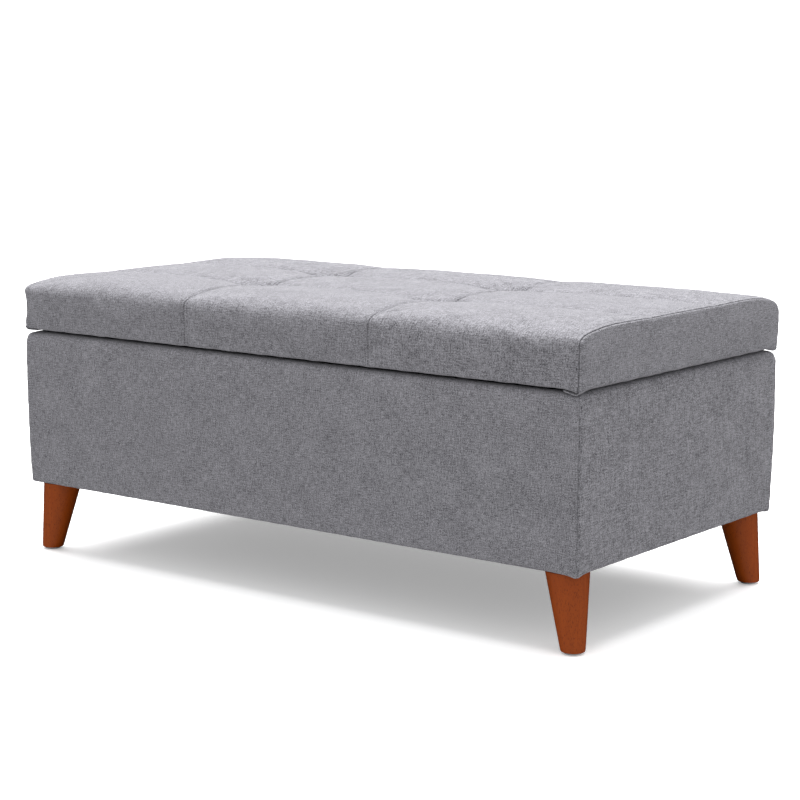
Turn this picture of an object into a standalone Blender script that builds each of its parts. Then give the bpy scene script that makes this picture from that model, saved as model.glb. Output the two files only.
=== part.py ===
"""Storage bench: an upholstered box on four splayed legs under a hinged, tufted seat lid.

Metres, +Z up, +X along the bench's length, -Y at its front. The origin is on the floor
under the middle of the box. Run it with: blender --background --python part.py
"""

import math

import bmesh
import bpy
from mathutils import Vector

# Overall sizes, measured over the fabric.
BASE_WIDTH = 1.060
BASE_DEPTH = 0.542
BASE_HEIGHT = 0.247
LEG_HEIGHT = 0.113
LID_HEIGHT = 0.081
LID_OVERHANG = 0.003

# Gaps between pieces.
TOUCH = 0.0003
SEAM_GAP = 0.0004

# Walls of the box, from the outside in.
FABRIC = 0.0012
WADDING = 0.006
RIM_WADDING = 0.004
PANEL = 0.012
FLOOR_PANEL = 0.012
LINER = 0.001
RIM_RADIUS = 0.008
INNER_RETURN = 0.025
POST_LEG = 0.025
POST_TOP_DROP = 0.002

# Legs and their fixings.
LEG_TOP_INSET = (0.038, 0.035)
LEG_FOOT_INSET = (0.021, 0.025)
LEG_TOP_RADIUS = 0.0310
LEG_FOOT_RADIUS = 0.0172
LEG_FOOT_CHAMFER = 0.0015
BOLT_TIP_SHARE = 0.75
BOLT_BELOW_NUT_TOP = 0.0015
BOLT_RADIUS = 0.004
BOLT_IN_LEG = 0.026
THREAD_CLEARANCE = 0.0003
NUT_WALL = 0.0012
NUT_FLANGE_RADIUS = 0.011
NUT_FLANGE = 0.0012
GLIDE_RADIUS = 0.0125
GLIDE_HEIGHT = 0.003
GLIDE_EDGE = 0.001
GLIDE_NAIL_RADIUS = 0.0012
GLIDE_NAIL_LENGTH = 0.010

# Lid.
LID_BOARD = 0.015
LID_RETURN = 0.025
EDGE_RADIUS = 0.024
CROWN_RADIUS = 0.450
CROWN_TURN = math.radians(10)
TIE_RADIUS = 0.001
TIE_CLEARANCE = 0.0006

# Piano hinge.
LEAF = 0.0015
LEAF_SPLIT = 0.0004
LEAF_WIDTH = 0.016
HINGE_LENGTH_SHARE = 0.88
KNUCKLES = 11
KNUCKLE_RADIUS = 0.003
KNUCKLE_GAP = 0.0005
HINGE_SETBACK = 0.0005
PIN_RADIUS = 0.0012
PIN_CLEARANCE = 0.0003
LID_OPEN = math.radians(95)

# Slotted lid stays.
STAY_PIVOT_DROP = math.radians(8.5)
STAY_CLOSED_ANGLE = math.radians(12)
STAY_FLOOR_CLEARANCE = 0.015
ARM_THICKNESS = 0.002
ARM_HALF_WIDTH = 0.008
ARM_STANDOFF = 0.001
ARM_SIDE_PLAY = 0.0005
SLOT_HALF_WIDTH = 0.0032
SLOT_SPARE = 0.002
STUD_RADIUS = 0.0025
STUD_HEAD_RADIUS = 0.006
STUD_HEAD = 0.002
RIVET_HEAD_RADIUS = 0.005
RIVET_HEAD = 0.0012
SHEET_STEEL = 0.0015
BRACKET_LENGTH = 0.040
BRACKET_FLANGE = 0.022
BRACKET_BELOW_PIVOT = 0.009
WALL_PLATE_DROP = 0.024
WALL_PLATE_RADIUS = 0.009

# Levels.
BASE_BOTTOM = LEG_HEIGHT
RIM_TOP = BASE_BOTTOM + BASE_HEIGHT
LID_GAP = 2 * TOUCH + 2 * LEAF + LEAF_SPLIT
LID_BOTTOM = RIM_TOP + LID_GAP
LID_TOP = LID_BOTTOM + LID_HEIGHT
PANEL_BOTTOM = BASE_BOTTOM + FABRIC + TOUCH
PANEL_TOP = RIM_TOP - FABRIC - RIM_WADDING - 2 * TOUCH
FLOOR_TOP = PANEL_BOTTOM + FLOOR_PANEL
LINER_BOTTOM = FLOOR_TOP + NUT_FLANGE + 2 * TOUCH

# Insets from the outside of the box.
PANEL_OUT = FABRIC + WADDING + 2 * TOUCH
PANEL_IN = PANEL_OUT + PANEL
UNDER_RETURN = PANEL_IN - TOUCH
RETURN_IN = PANEL_IN + TOUCH + FABRIC
LINER_OUT = RETURN_IN + TOUCH
LINER_IN = LINER_OUT + LINER

# Lid plan.
LID_WIDTH = BASE_WIDTH + 2 * LID_OVERHANG
LID_DEPTH = BASE_DEPTH + 2 * LID_OVERHANG
SEAM_X = LID_WIDTH / 6
SEAM_Y = LID_DEPTH / 6
LID_CORE_INSET = FABRIC + TOUCH

# Hinge axis: half-way up the gap, just behind the lid's rear face.
AXIS_Y = LID_DEPTH / 2 + HINGE_SETBACK + KNUCKLE_RADIUS
AXIS_Z = RIM_TOP + LID_GAP / 2

# The stay's two pins lie at one distance from the hinge axis, so the slotted arm turns
# through half the lid's angle. The distance is the largest that lets the closed arm
# hang clear of the storage floor.
STAY_TILT = STAY_PIVOT_DROP + STAY_CLOSED_ANGLE / 2
STAY_REACH = 2 * math.sin((STAY_CLOSED_ANGLE + LID_OPEN) / 2)
STAY_ROOM = AXIS_Z - LINER_BOTTOM - LINER - STAY_FLOOR_CLEARANCE - ARM_HALF_WIDTH
STAY_RADIUS = STAY_ROOM / (math.sin(STAY_PIVOT_DROP) + STAY_REACH * math.cos(STAY_TILT))

# Distances from the middle of the bench to the faces of the stays' pieces.
WALL_PLATE_OUT = BASE_WIDTH / 2 - LINER_IN - TOUCH
WALL_PLATE_IN = WALL_PLATE_OUT - SHEET_STEEL
ARM_OUT = WALL_PLATE_IN - ARM_STANDOFF
ARM_IN = ARM_OUT - ARM_THICKNESS
WEB_OUT = ARM_IN - ARM_SIDE_PLAY

# Facets round a full circle, and steps along an arc.
LEG_SIDES = 24
SMALL_SIDES = 12
TWINE_SIDES = 8
RIM_STEPS = 5
EDGE_STEPS = 6
CROWN_STEPS = 4
SHARP_ANGLE = math.radians(35)
CORNERS = {"front_left": (-1, -1), "front_right": (1, -1), "rear_right": (1, 1), "rear_left": (-1, 1)}


def clear_scene():
    for item in list(bpy.data.objects):
        bpy.data.objects.remove(item, do_unlink=True)


def finish_material(name, colour, roughness, metallic=0.0):
    """A Principled BSDF material with one colour."""
    material = bpy.data.materials.new(name)
    material.use_nodes = True
    shader = material.node_tree.nodes["Principled BSDF"]
    shader.inputs["Base Color"].default_value = (*colour, 1.0)
    shader.inputs["Roughness"].default_value = roughness
    shader.inputs["Metallic"].default_value = metallic
    return material


def empty_at(name, place, parent=None):
    """An empty on a joint's axis, which carries the pieces that move about it."""
    pivot = bpy.data.objects.new(name, None)
    bpy.context.scene.collection.objects.link(pivot)
    pivot.location = place
    bpy.context.view_layer.update()
    if parent:
        hang(pivot, parent)
    return pivot


def hang(item, parent):
    """Parents an object and keeps it where it is."""
    item.parent = parent
    item.matrix_parent_inverse = parent.matrix_world.inverted()
    bpy.context.view_layer.update()


def loft(name, rings, material, parent=None, closed=False, smooth=False):
    """A solid through equal rings of points: capped at both ends, or closed on itself."""
    shape = bmesh.new()
    loops = [[shape.verts.new(point) for point in ring] for ring in rings]
    pairs = list(zip(loops, loops[1:]))
    if closed:
        pairs.append((loops[-1], loops[0]))
    else:
        shape.faces.new(loops[0])
        shape.faces.new(loops[-1])
    for low, high in pairs:
        for i in range(len(low)):
            j = (i + 1) % len(low)
            shape.faces.new((low[i], low[j], high[j], high[i]))
    bmesh.ops.recalc_face_normals(shape, faces=shape.faces)
    mesh = bpy.data.meshes.new(name)
    shape.to_mesh(mesh)
    shape.free()
    if smooth:
        mesh.shade_smooth()
        mesh.set_sharp_from_angle(angle=SHARP_ANGLE)
    mesh.materials.append(material)
    item = bpy.data.objects.new(name, mesh)
    bpy.context.scene.collection.objects.link(item)
    if parent:
        hang(item, parent)
    return item


def block(name, low, high, material, parent=None):
    """A rectangular solid between two corners."""
    rings = []
    for x in (low[0], high[0]):
        rings.append([(x, low[1], low[2]), (x, high[1], low[2]), (x, high[1], high[2]), (x, low[1], high[2])])
    return loft(name, rings, material, parent)


def along_x(name, outline, start, end, material, parent=None, smooth=False):
    """An outline of (y, z) points extruded along X."""
    rings = [[(x, y, z) for y, z in outline] for x in (start, end)]
    return loft(name, rings, material, parent, smooth=smooth)


def turned(name, profile, centre, material, sides=SMALL_SIDES, parent=None, hollow=False):
    """A profile of (radius, height) points turned about a vertical line through centre."""
    rings = [circle(centre[0], centre[1], centre[2] + z, radius, sides) for radius, z in profile]
    return loft(name, rings, material, parent, closed=hollow, smooth=True)


def circle(x, y, z, radius, sides):
    turn = 2 * math.pi / sides
    return [(x + radius * math.cos(turn * i), y + radius * math.sin(turn * i), z) for i in range(sides)]


def arc(centre, radius, start, end, steps):
    """Points on an arc in a plane, both ends included; angles in radians."""
    angles = [start + (end - start) * i / steps for i in range(steps + 1)]
    return [(centre[0] + radius * math.cos(a), centre[1] + radius * math.sin(a)) for a in angles]


def shifted(path, distance):
    """A path moved sideways to its right by one distance all along."""
    points = [Vector(point) for point in path]
    normals = []
    for here, there in zip(points, points[1:]):
        step = (there - here).normalized()
        normals.append(Vector((step.y, -step.x)))
    moved = [points[0] + normals[0] * distance]
    for i in range(1, len(points) - 1):
        before, after = normals[i - 1], normals[i]
        moved.append(points[i] + (before + after) * distance / (1 + before.dot(after)))
    moved.append(points[-1] + normals[-1] * distance)
    return [tuple(point) for point in moved]


def sheet(path, thickness):
    """The closed outline of a sheet that follows a path, its thickness on the right."""
    return list(path) + shifted(path, thickness)[::-1]


def stadium(start, end, radius, steps=EDGE_STEPS):
    """A slot outline: two half circles joined by straight sides."""
    lean = math.atan2(end[1] - start[1], end[0] - start[0])
    far = arc(end, radius, lean - math.pi / 2, lean + math.pi / 2, steps)
    near = arc(start, radius, lean + math.pi / 2, lean + 3 * math.pi / 2, steps)
    return far + near


def boolean(target, tool, operation):
    """Cuts or joins one object with another, which is left as a hidden guide."""
    tool.hide_render = True
    tool.display_type = "WIRE"
    change = target.modifiers.new(tool.name, "BOOLEAN")
    change.operation = operation
    change.solver = "EXACT"
    change.object = tool


def merged(name, pieces, material):
    """One guide object that holds several shapes."""
    shape = bmesh.new()
    for piece in pieces:
        shape.from_mesh(piece.data)
        bpy.data.objects.remove(piece, do_unlink=True)
    mesh = bpy.data.meshes.new(name)
    shape.to_mesh(mesh)
    shape.free()
    mesh.materials.append(material)
    item = bpy.data.objects.new(name, mesh)
    bpy.context.scene.collection.objects.link(item)
    return item


def drill(targets, name, centres, radius, low, high, material):
    """Upright round holes through the targets at each centre."""
    pins = [turned(name, [(radius, low), (radius, high)], (x, y, 0), material) for x, y in centres]
    cutter = merged(name, pins, material)
    for target in targets:
        boolean(target, cutter, "DIFFERENCE")


# Box

def half_sizes(side):
    """Half the box across a side's face and half its length, over the fabric."""
    across, length = BASE_DEPTH / 2, BASE_WIDTH / 2
    return (across, length) if side in ("front", "back") else (length, across)


def wall_point(side, inset, along, height):
    """A point on a side of the box, at an inset from its outside."""
    across, _ = half_sizes(side)
    out = across - inset
    places = {"front": (along, -out), "back": (-along, out), "left": (-out, -along), "right": (out, along)}
    return (*places[side], height)


def wall_strip(name, side, section, material):
    """A strip along one side with mitred ends, from an outline of (inset, height)."""
    _, length = half_sizes(side)
    rings = []
    for end in (-1, 1):
        rings.append([wall_point(side, i, end * (length - i - TOUCH), z) for i, z in section])
    return loft(name, rings, material)


def rim_path(inner_edge):
    """The outside of a wall, from its bottom edge up and over the rim."""
    rise = arc((RIM_RADIUS, RIM_TOP - RIM_RADIUS), RIM_RADIUS, math.pi, math.pi / 2, RIM_STEPS)
    return [(0, BASE_BOTTOM)] + rise + [(inner_edge, RIM_TOP)]


def make_panels(plywood):
    """The four plywood walls; the ends stand between the front and the back."""
    for side in ("front", "back", "left", "right"):
        _, length = half_sizes(side)
        inset = PANEL_OUT if side in ("front", "back") else PANEL_IN + TOUCH
        section = [(PANEL_OUT, PANEL_BOTTOM), (PANEL_IN, PANEL_BOTTOM)]
        section += [(PANEL_IN, PANEL_TOP), (PANEL_OUT, PANEL_TOP)]
        reach = length - inset
        rings = [[wall_point(side, i, end * reach, z) for i, z in section] for end in (-1, 1)]
        loft(f"{side}_panel" if side in ("front", "back") else f"{side}_end_panel", rings, plywood)


def make_floor(plywood, cloth):
    """The plywood floor between the walls, and the dust cover stretched below it."""
    x, y = BASE_WIDTH / 2 - PANEL_IN - TOUCH, BASE_DEPTH / 2 - PANEL_IN - TOUCH
    floor = block("floor_panel", (-x, -y, PANEL_BOTTOM), (x, y, FLOOR_TOP), plywood)
    x, y = BASE_WIDTH / 2 - UNDER_RETURN - TOUCH, BASE_DEPTH / 2 - UNDER_RETURN - TOUCH
    dust_cover = block("dust_cover", (-x, -y, BASE_BOTTOM), (x, y, BASE_BOTTOM + FABRIC), cloth)
    centres = [leg_centre(corner, LEG_TOP_INSET) for corner in CORNERS]
    radius = BOLT_RADIUS + THREAD_CLEARANCE + NUT_WALL + TOUCH
    drill([floor, dust_cover], "bolt_holes", centres, radius, 0, RIM_TOP, plywood)


def make_posts(timber):
    """Triangular glue posts in the corners of the box."""
    low, high = LINER_BOTTOM, RIM_TOP - INNER_RETURN - POST_TOP_DROP
    for corner, (sx, sy) in CORNERS.items():
        x, y = BASE_WIDTH / 2 - PANEL_IN - TOUCH, BASE_DEPTH / 2 - PANEL_IN - TOUCH
        plan = [(sx * x, sy * y), (sx * (x - POST_LEG), sy * y), (sx * x, sy * (y - POST_LEG))]
        loft(f"corner_post_{corner}", [[(px, py, z) for px, py in plan] for z in (low, high)], timber)


def make_wadding(wadding):
    """The wadding that wraps the four walls and their rim in one ring."""
    outer = shifted(rim_path(PANEL_IN), FABRIC + TOUCH)
    step, bottom = PANEL_OUT - TOUCH, PANEL_BOTTOM
    section = [(step, bottom), (FABRIC + TOUCH, bottom)] + outer[1:]
    section += [(PANEL_IN, PANEL_TOP + TOUCH), (step, PANEL_TOP + TOUCH)]
    rings = []
    for sx, sy in CORNERS.values():
        rings.append([(sx * (BASE_WIDTH / 2 - i), sy * (BASE_DEPTH / 2 - i), z) for i, z in section])
    loft("base_foam_wrap", rings, wadding, closed=True)


def make_base_covers(fabric):
    """The four fabric sides, turned in over the rim and under the bottom edge."""
    path = [(UNDER_RETURN, BASE_BOTTOM)] + rim_path(RETURN_IN) + [(RETURN_IN, RIM_TOP - INNER_RETURN)]
    for side in ("front", "back", "left", "right"):
        wall_strip(f"base_cover_{side}", side, sheet(path, FABRIC), fabric)


def make_liner(cloth):
    """The cloth lining of the storage space, which passes across the corner posts."""
    standoff = LINER_OUT - PANEL_IN - TOUCH
    cut = POST_LEG - 2 * standoff + math.sqrt(2) * TOUCH
    lip = LINER * (2 - math.sqrt(2))
    outer = cut_corner_plan(LINER_OUT, cut)
    inner = cut_corner_plan(LINER_IN, cut - lip)
    top, floor = RIM_TOP - RIM_RADIUS, LINER_BOTTOM + LINER
    levels = [(outer, LINER_BOTTOM), (outer, top), (inner, top), (inner, floor)]
    loft("storage_liner", [[(x, y, z) for x, y in plan] for plan, z in levels], cloth)


def cut_corner_plan(inset, cut):
    """The box's plan at an inset, with its four corners cut off."""
    plan = []
    for sx, sy in CORNERS.values():
        x, y = sx * (BASE_WIDTH / 2 - inset), sy * (BASE_DEPTH / 2 - inset)
        pair = [(x, y - sy * cut), (x - sx * cut, y)]
        plan += pair if sx * sy > 0 else pair[::-1]
    return plan[::-1]


# Legs

def leg_centre(corner, inset):
    sx, sy = CORNERS[corner]
    return (sx * (BASE_WIDTH / 2 - inset[0]), sy * (BASE_DEPTH / 2 - inset[1]))


def leg_ring(corner, height, radius, sides=LEG_SIDES):
    """A level ring round the leaning leg's centre line."""
    foot, top = leg_centre(corner, LEG_FOOT_INSET), leg_centre(corner, LEG_TOP_INSET)
    rise = (height - GLIDE_HEIGHT) / (LEG_HEIGHT - GLIDE_HEIGHT)
    x, y = (f + (t - f) * rise for f, t in zip(foot, top))
    return circle(x, y, height, radius, sides)


def make_legs(timber, steel, nylon):
    """Tapered legs, each on a hanger bolt in a tee nut, with a nailed glide."""
    low, high = GLIDE_HEIGHT + TOUCH, LEG_HEIGHT - TOUCH
    bolt_low = high - BOLT_IN_LEG
    nail_top = GLIDE_HEIGHT + GLIDE_NAIL_LENGTH
    for corner in CORNERS:
        foot, top = leg_centre(corner, LEG_FOOT_INSET), leg_centre(corner, LEG_TOP_INSET)
        nail_bore, bolt_bore = GLIDE_NAIL_RADIUS + TOUCH, BOLT_RADIUS + THREAD_CLEARANCE
        rings = [
            circle(*foot, nail_top + TOUCH, nail_bore, LEG_SIDES),
            circle(*foot, low, nail_bore, LEG_SIDES),
            leg_ring(corner, low, LEG_FOOT_RADIUS - LEG_FOOT_CHAMFER),
            leg_ring(corner, low + LEG_FOOT_CHAMFER, LEG_FOOT_RADIUS),
            leg_ring(corner, high, LEG_TOP_RADIUS),
            circle(*top, high, bolt_bore, LEG_SIDES),
            circle(*top, bolt_low - TOUCH, bolt_bore, LEG_SIDES),
        ]
        loft(f"leg_{corner}", rings, timber, smooth=True)
        make_leg_fixings(corner, foot, top, bolt_low, nail_top, steel, nylon)


def make_leg_fixings(corner, foot, top, bolt_low, nail_top, steel, nylon):
    nut_top = FLOOR_TOP + TOUCH + NUT_FLANGE
    bolt_high = nut_top - BOLT_BELOW_NUT_TOP
    tip = BOLT_RADIUS * BOLT_TIP_SHARE
    lead = BOLT_RADIUS - tip
    bolt = [(tip, bolt_low), (BOLT_RADIUS, bolt_low + lead)]
    bolt += [(BOLT_RADIUS, bolt_high - lead), (tip, bolt_high)]
    turned(f"hanger_bolt_{corner}", bolt, (*top, 0), steel)
    bore = BOLT_RADIUS + THREAD_CLEARANCE
    barrel = bore + NUT_WALL
    flange = FLOOR_TOP + TOUCH
    nut = [(bore, PANEL_BOTTOM), (barrel, PANEL_BOTTOM), (barrel, flange), (NUT_FLANGE_RADIUS, flange)]
    nut += [(NUT_FLANGE_RADIUS, nut_top), (bore, nut_top)]
    turned(f"tee_nut_{corner}", nut, (*top, 0), steel, hollow=True)
    glide = [(GLIDE_RADIUS - GLIDE_EDGE, 0), (GLIDE_RADIUS, GLIDE_EDGE), (GLIDE_RADIUS, GLIDE_HEIGHT)]
    glide += [(GLIDE_NAIL_RADIUS, GLIDE_HEIGHT), (GLIDE_NAIL_RADIUS, nail_top)]
    turned(f"foot_glide_{corner}", glide, (*foot, 0), nylon)


# Lid

def lid_shoulder():
    """The lid's front edge in (y, z): a tight curve, then a slow one up to the flat top."""
    front = -LID_DEPTH / 2
    slow_y = front + EDGE_RADIUS + (CROWN_RADIUS - EDGE_RADIUS) * math.sin(CROWN_TURN)
    slow = (slow_y, LID_TOP - CROWN_RADIUS)
    turn = math.pi / 2 + CROWN_TURN
    reach = CROWN_RADIUS - EDGE_RADIUS
    tight = (slow[0] + reach * math.cos(turn), slow[1] + reach * math.sin(turn))
    rise = arc(tight, EDGE_RADIUS, math.pi, turn, EDGE_STEPS)
    return rise + arc(slow, CROWN_RADIUS, turn, math.pi / 2, CROWN_STEPS)[1:]


def mirrored(path):
    """A (y, z) path seen in the plane y = 0, running the other way."""
    return [(-y, z) for y, z in path[::-1]]


def lid_over(bottom):
    """The lid's outside from the foot of its front face over to that of its rear face."""
    front = [(-LID_DEPTH / 2, bottom)] + lid_shoulder()
    return front + mirrored(front)


def make_lid_core(plywood, foam, cloth, pivot):
    """The board, the foam on it, and the cloth under it."""
    x, y = LID_WIDTH / 2 - LID_CORE_INSET, LID_DEPTH / 2 - LID_CORE_INSET
    low = LID_BOTTOM + LID_CORE_INSET
    board = block("lid_board", (-x, -y, low), (x, y, low + LID_BOARD), plywood, pivot)
    crest = shifted(lid_over(low + LID_BOARD + TOUCH), LID_CORE_INSET)
    seat_foam = along_x("seat_foam", crest, -x, x, foam, pivot)
    y = LID_DEPTH / 2 - LID_RETURN - TOUCH
    block("lid_underside_cloth", (-x, -y, LID_BOTTOM), (x, y, LID_BOTTOM + FABRIC), cloth, pivot)
    bore = TIE_RADIUS + TIE_CLEARANCE
    drill([board, seat_foam], "tie_holes", tuft_centres(), bore, RIM_TOP, LID_TOP + EDGE_RADIUS, foam)


def tuft_centres():
    return [(sx * SEAM_X, sy * SEAM_Y) for sx, sy in CORNERS.values()]


def make_tuft_ties(twine, pivot):
    """Ties that pull the cover down at the seam crossings, stapled off under the board."""
    low = LID_BOTTOM + FABRIC + TOUCH
    for corner, (x, y) in zip(CORNERS, tuft_centres()):
        head = LID_TOP - FABRIC - TOUCH
        profile = [(TIE_RADIUS, low), (TIE_RADIUS, head)]
        turned(f"tuft_tie_{corner}", profile, (x, y, 0), twine, sides=TWINE_SIDES, parent=pivot)


def make_lid_covers(fabric, pivot):
    """Nine sewn patches over the top, and a boxing panel at each end."""
    front_face = [(-LID_DEPTH / 2, LID_BOTTOM)] + lid_shoulder()
    seam = SEAM_Y + SEAM_GAP / 2
    front_path = [(-LID_DEPTH / 2 + LID_RETURN, LID_BOTTOM)] + front_face + [(-seam, LID_TOP)]
    middle = SEAM_Y - SEAM_GAP / 2
    rows = {
        "front": sheet(front_path, FABRIC),
        "middle": sheet([(-middle, LID_TOP), (middle, LID_TOP)], FABRIC),
        "rear": sheet(mirrored(front_path), FABRIC),
    }
    end = LID_WIDTH / 2 - FABRIC - SEAM_GAP
    side, inner = SEAM_X + SEAM_GAP / 2, SEAM_X - SEAM_GAP / 2
    columns = {"left": (-end, -side), "centre": (-inner, inner), "right": (side, end)}
    for row, outline in rows.items():
        for column, (start, stop) in columns.items():
            along_x(f"seat_patch_{row}_{column}", outline, start, stop, fabric, pivot)
    outline = front_face + mirrored(front_face)
    for name, sx in (("left", -1), ("right", 1)):
        start, stop = sx * (LID_WIDTH / 2 - FABRIC), sx * LID_WIDTH / 2
        along_x(f"lid_end_boxing_{name}", outline, start, stop, fabric, pivot)


# Hinge

def knuckle_spans(first):
    """The stretches along X of every other knuckle."""
    length = LID_WIDTH * HINGE_LENGTH_SHARE
    pitch = length / KNUCKLES
    starts = [-length / 2 + i * pitch for i in range(first, KNUCKLES, 2)]
    return [(start + KNUCKLE_GAP / 2, start + pitch - KNUCKLE_GAP / 2) for start in starts]


def hinge_leaf(name, first, low, steel, parent=None):
    """A flat leaf with its own rolled knuckles, every other one along the pin."""
    half = LID_WIDTH * HINGE_LENGTH_SHARE / 2
    back = AXIS_Y - KNUCKLE_RADIUS - KNUCKLE_GAP
    front = AXIS_Y - LEAF_WIDTH - KNUCKLE_RADIUS
    leaf = block(name, (-half, front, low), (half, back, low + LEAF), steel, parent)
    bore = PIN_RADIUS + PIN_CLEARANCE
    tabs, rolls, bores = [], [], []
    for start, stop in knuckle_spans(first):
        corner = (stop, AXIS_Y - bore - LEAF / 2, low + LEAF)
        tabs.append(block(name, (start, back - LEAF, low), corner, steel))
        rolls.append(barrel(name, KNUCKLE_RADIUS, start, stop, steel))
        bores.append(barrel(name, bore, start - KNUCKLE_GAP, stop + KNUCKLE_GAP, steel))
    boolean(leaf, merged(f"{name}_tabs", tabs, steel), "UNION")
    boolean(leaf, merged(f"{name}_rolls", rolls, steel), "UNION")
    boolean(leaf, merged(f"{name}_bores", bores, steel), "DIFFERENCE")


def barrel(name, radius, start, stop, material, parent=None):
    """A cylinder about the hinge axis."""
    outline = arc((AXIS_Y, AXIS_Z), radius, 0, 2 * math.pi, SMALL_SIDES)[:-1]
    return along_x(name, outline, start, stop, material, parent, smooth=True)


def make_hinge(steel, pivot):
    """A piano hinge: one leaf on the rim, one under the lid, and the pin through both."""
    hinge_leaf("hinge_leaf_base", 0, RIM_TOP + TOUCH, steel)
    hinge_leaf("hinge_leaf_lid", 1, LID_BOTTOM - TOUCH - LEAF, steel, pivot)
    half = LID_WIDTH * HINGE_LENGTH_SHARE / 2
    barrel("hinge_pin", PIN_RADIUS, -half, half, steel)


# Lid stays

def stay_pin(angle):
    """A stay pin's (y, z) at an angle below the level line through the hinge axis."""
    return (AXIS_Y - STAY_RADIUS * math.cos(angle), AXIS_Z - STAY_RADIUS * math.sin(angle))


def pin_along_x(name, centre, radius, start, stop, material):
    outline = arc(centre, radius, 0, 2 * math.pi, SMALL_SIDES)[:-1]
    return along_x(name, outline, start, stop, material, smooth=True)


def make_stays(steel, lid_pivot):
    """Two slotted arms: each turns on a bracket under the lid and slides on a wall stud."""
    lid_pin = stay_pin(STAY_PIVOT_DROP)
    wall_pin = stay_pin(STAY_PIVOT_DROP + STAY_CLOSED_ANGLE)
    for side, sx in (("left", -1), ("right", 1)):
        pivot = empty_at(f"stay_pivot_{side}", (sx * ARM_OUT, *lid_pin), lid_pivot)
        make_stay_arm(side, sx, lid_pin, wall_pin, steel, pivot)
        make_stay_bracket(side, sx, lid_pin, steel, lid_pivot)
        make_stay_wall_plate(side, sx, wall_pin, steel)


def make_stay_arm(side, sx, lid_pin, wall_pin, steel, pivot):
    start, heading = Vector(lid_pin), (Vector(wall_pin) - Vector(lid_pin)).normalized()
    slack = SLOT_HALF_WIDTH - STUD_RADIUS
    shortest = 2 * STAY_RADIUS * math.sin(STAY_CLOSED_ANGLE / 2)
    slot_near = start + heading * (shortest + slack - SLOT_SPARE)
    slot_far = start + heading * (STAY_RADIUS * STAY_REACH - slack + TOUCH)
    faces = (sx * ARM_IN, sx * ARM_OUT)
    arm = along_x(f"stay_arm_{side}", stadium(start, slot_far, ARM_HALF_WIDTH), *faces, steel, pivot)
    through = (sx * (ARM_IN - STUD_HEAD), sx * (ARM_OUT + STUD_HEAD))
    slot = along_x("slot", stadium(slot_near, slot_far, SLOT_HALF_WIDTH), *through, steel)
    hole = pin_along_x("hole", lid_pin, STUD_RADIUS + TOUCH, *through, steel)
    boolean(arm, merged(f"stay_arm_{side}_cuts", [slot, hole], steel), "DIFFERENCE")


def make_stay_bracket(side, sx, lid_pin, steel, lid_pivot):
    """An angle bracket under the lid, with the rivet that the arm turns on."""
    top, bottom = LID_BOTTOM - TOUCH, lid_pin[1] - BRACKET_BELOW_PIVOT
    path = [(WEB_OUT - BRACKET_FLANGE, top), (WEB_OUT, top), (WEB_OUT, bottom)]
    near, far = lid_pin[0] - BRACKET_LENGTH / 2, lid_pin[0] + BRACKET_LENGTH / 2
    rings = [[(sx * x, y, z) for x, z in sheet(path, SHEET_STEEL)] for y in (near, far)]
    bracket = loft(f"stay_bracket_{side}", rings, steel, lid_pivot)
    head_in = ARM_OUT + TOUCH
    shank = pin_along_x("shank", lid_pin, STUD_RADIUS, sx * (WEB_OUT - TOUCH), sx * (head_in + TOUCH), steel)
    boolean(bracket, merged(f"stay_bracket_{side}_shank", [shank], steel), "UNION")
    head = pin_along_x("head", lid_pin, RIVET_HEAD_RADIUS, sx * head_in, sx * (head_in + RIVET_HEAD), steel)
    boolean(bracket, merged(f"stay_bracket_{side}_head", [head], steel), "UNION")


def make_stay_wall_plate(side, sx, wall_pin, steel):
    """A plate on the end wall, with the headed stud that runs in the arm's slot."""
    lower = (wall_pin[0], wall_pin[1] - WALL_PLATE_DROP)
    outline = stadium(wall_pin, lower, WALL_PLATE_RADIUS)
    plate = along_x(f"stay_wall_plate_{side}", outline, sx * WALL_PLATE_OUT, sx * WALL_PLATE_IN, steel)
    head_out = ARM_IN - ARM_SIDE_PLAY
    faces = (sx * (WALL_PLATE_IN + TOUCH), sx * (head_out - TOUCH))
    stud = pin_along_x("stud", wall_pin, STUD_RADIUS, *faces, steel)
    boolean(plate, merged(f"stay_wall_plate_{side}_stud", [stud], steel), "UNION")
    head = pin_along_x("head", wall_pin, STUD_HEAD_RADIUS, sx * head_out, sx * (head_out - STUD_HEAD), steel)
    boolean(plate, merged(f"stay_wall_plate_{side}_head", [head], steel), "UNION")


def build():
    clear_scene()
    fabric = finish_material("grey_linen_weave", (0.21, 0.205, 0.22), 0.95)
    plywood = finish_material("birch_plywood", (0.62, 0.47, 0.30), 0.7)
    timber = finish_material("pine_block", (0.65, 0.50, 0.32), 0.75)
    stained = finish_material("walnut_stained_beech", (0.25, 0.075, 0.025), 0.35)
    foam = finish_material("seat_foam", (0.85, 0.80, 0.62), 0.9)
    wadding = finish_material("polyester_wadding", (0.85, 0.85, 0.83), 1.0)
    lining = finish_material("black_non_woven", (0.02, 0.02, 0.022), 0.9)
    steel = finish_material("zinc_plated_steel", (0.62, 0.62, 0.60), 0.35, 1.0)
    nylon = finish_material("grey_nylon", (0.55, 0.55, 0.54), 0.5)
    twine = finish_material("waxed_twine", (0.45, 0.43, 0.38), 0.8)
    make_panels(plywood)
    make_floor(plywood, lining)
    make_posts(timber)
    make_wadding(wadding)
    make_base_covers(fabric)
    make_liner(lining)
    make_legs(stained, steel, nylon)
    lid_pivot = empty_at("lid_hinge_axis", (0, AXIS_Y, AXIS_Z))
    make_lid_core(plywood, foam, lining, lid_pivot)
    make_tuft_ties(twine, lid_pivot)
    make_lid_covers(fabric, lid_pivot)
    make_hinge(steel, lid_pivot)
    make_stays(steel, lid_pivot)


build()
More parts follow.
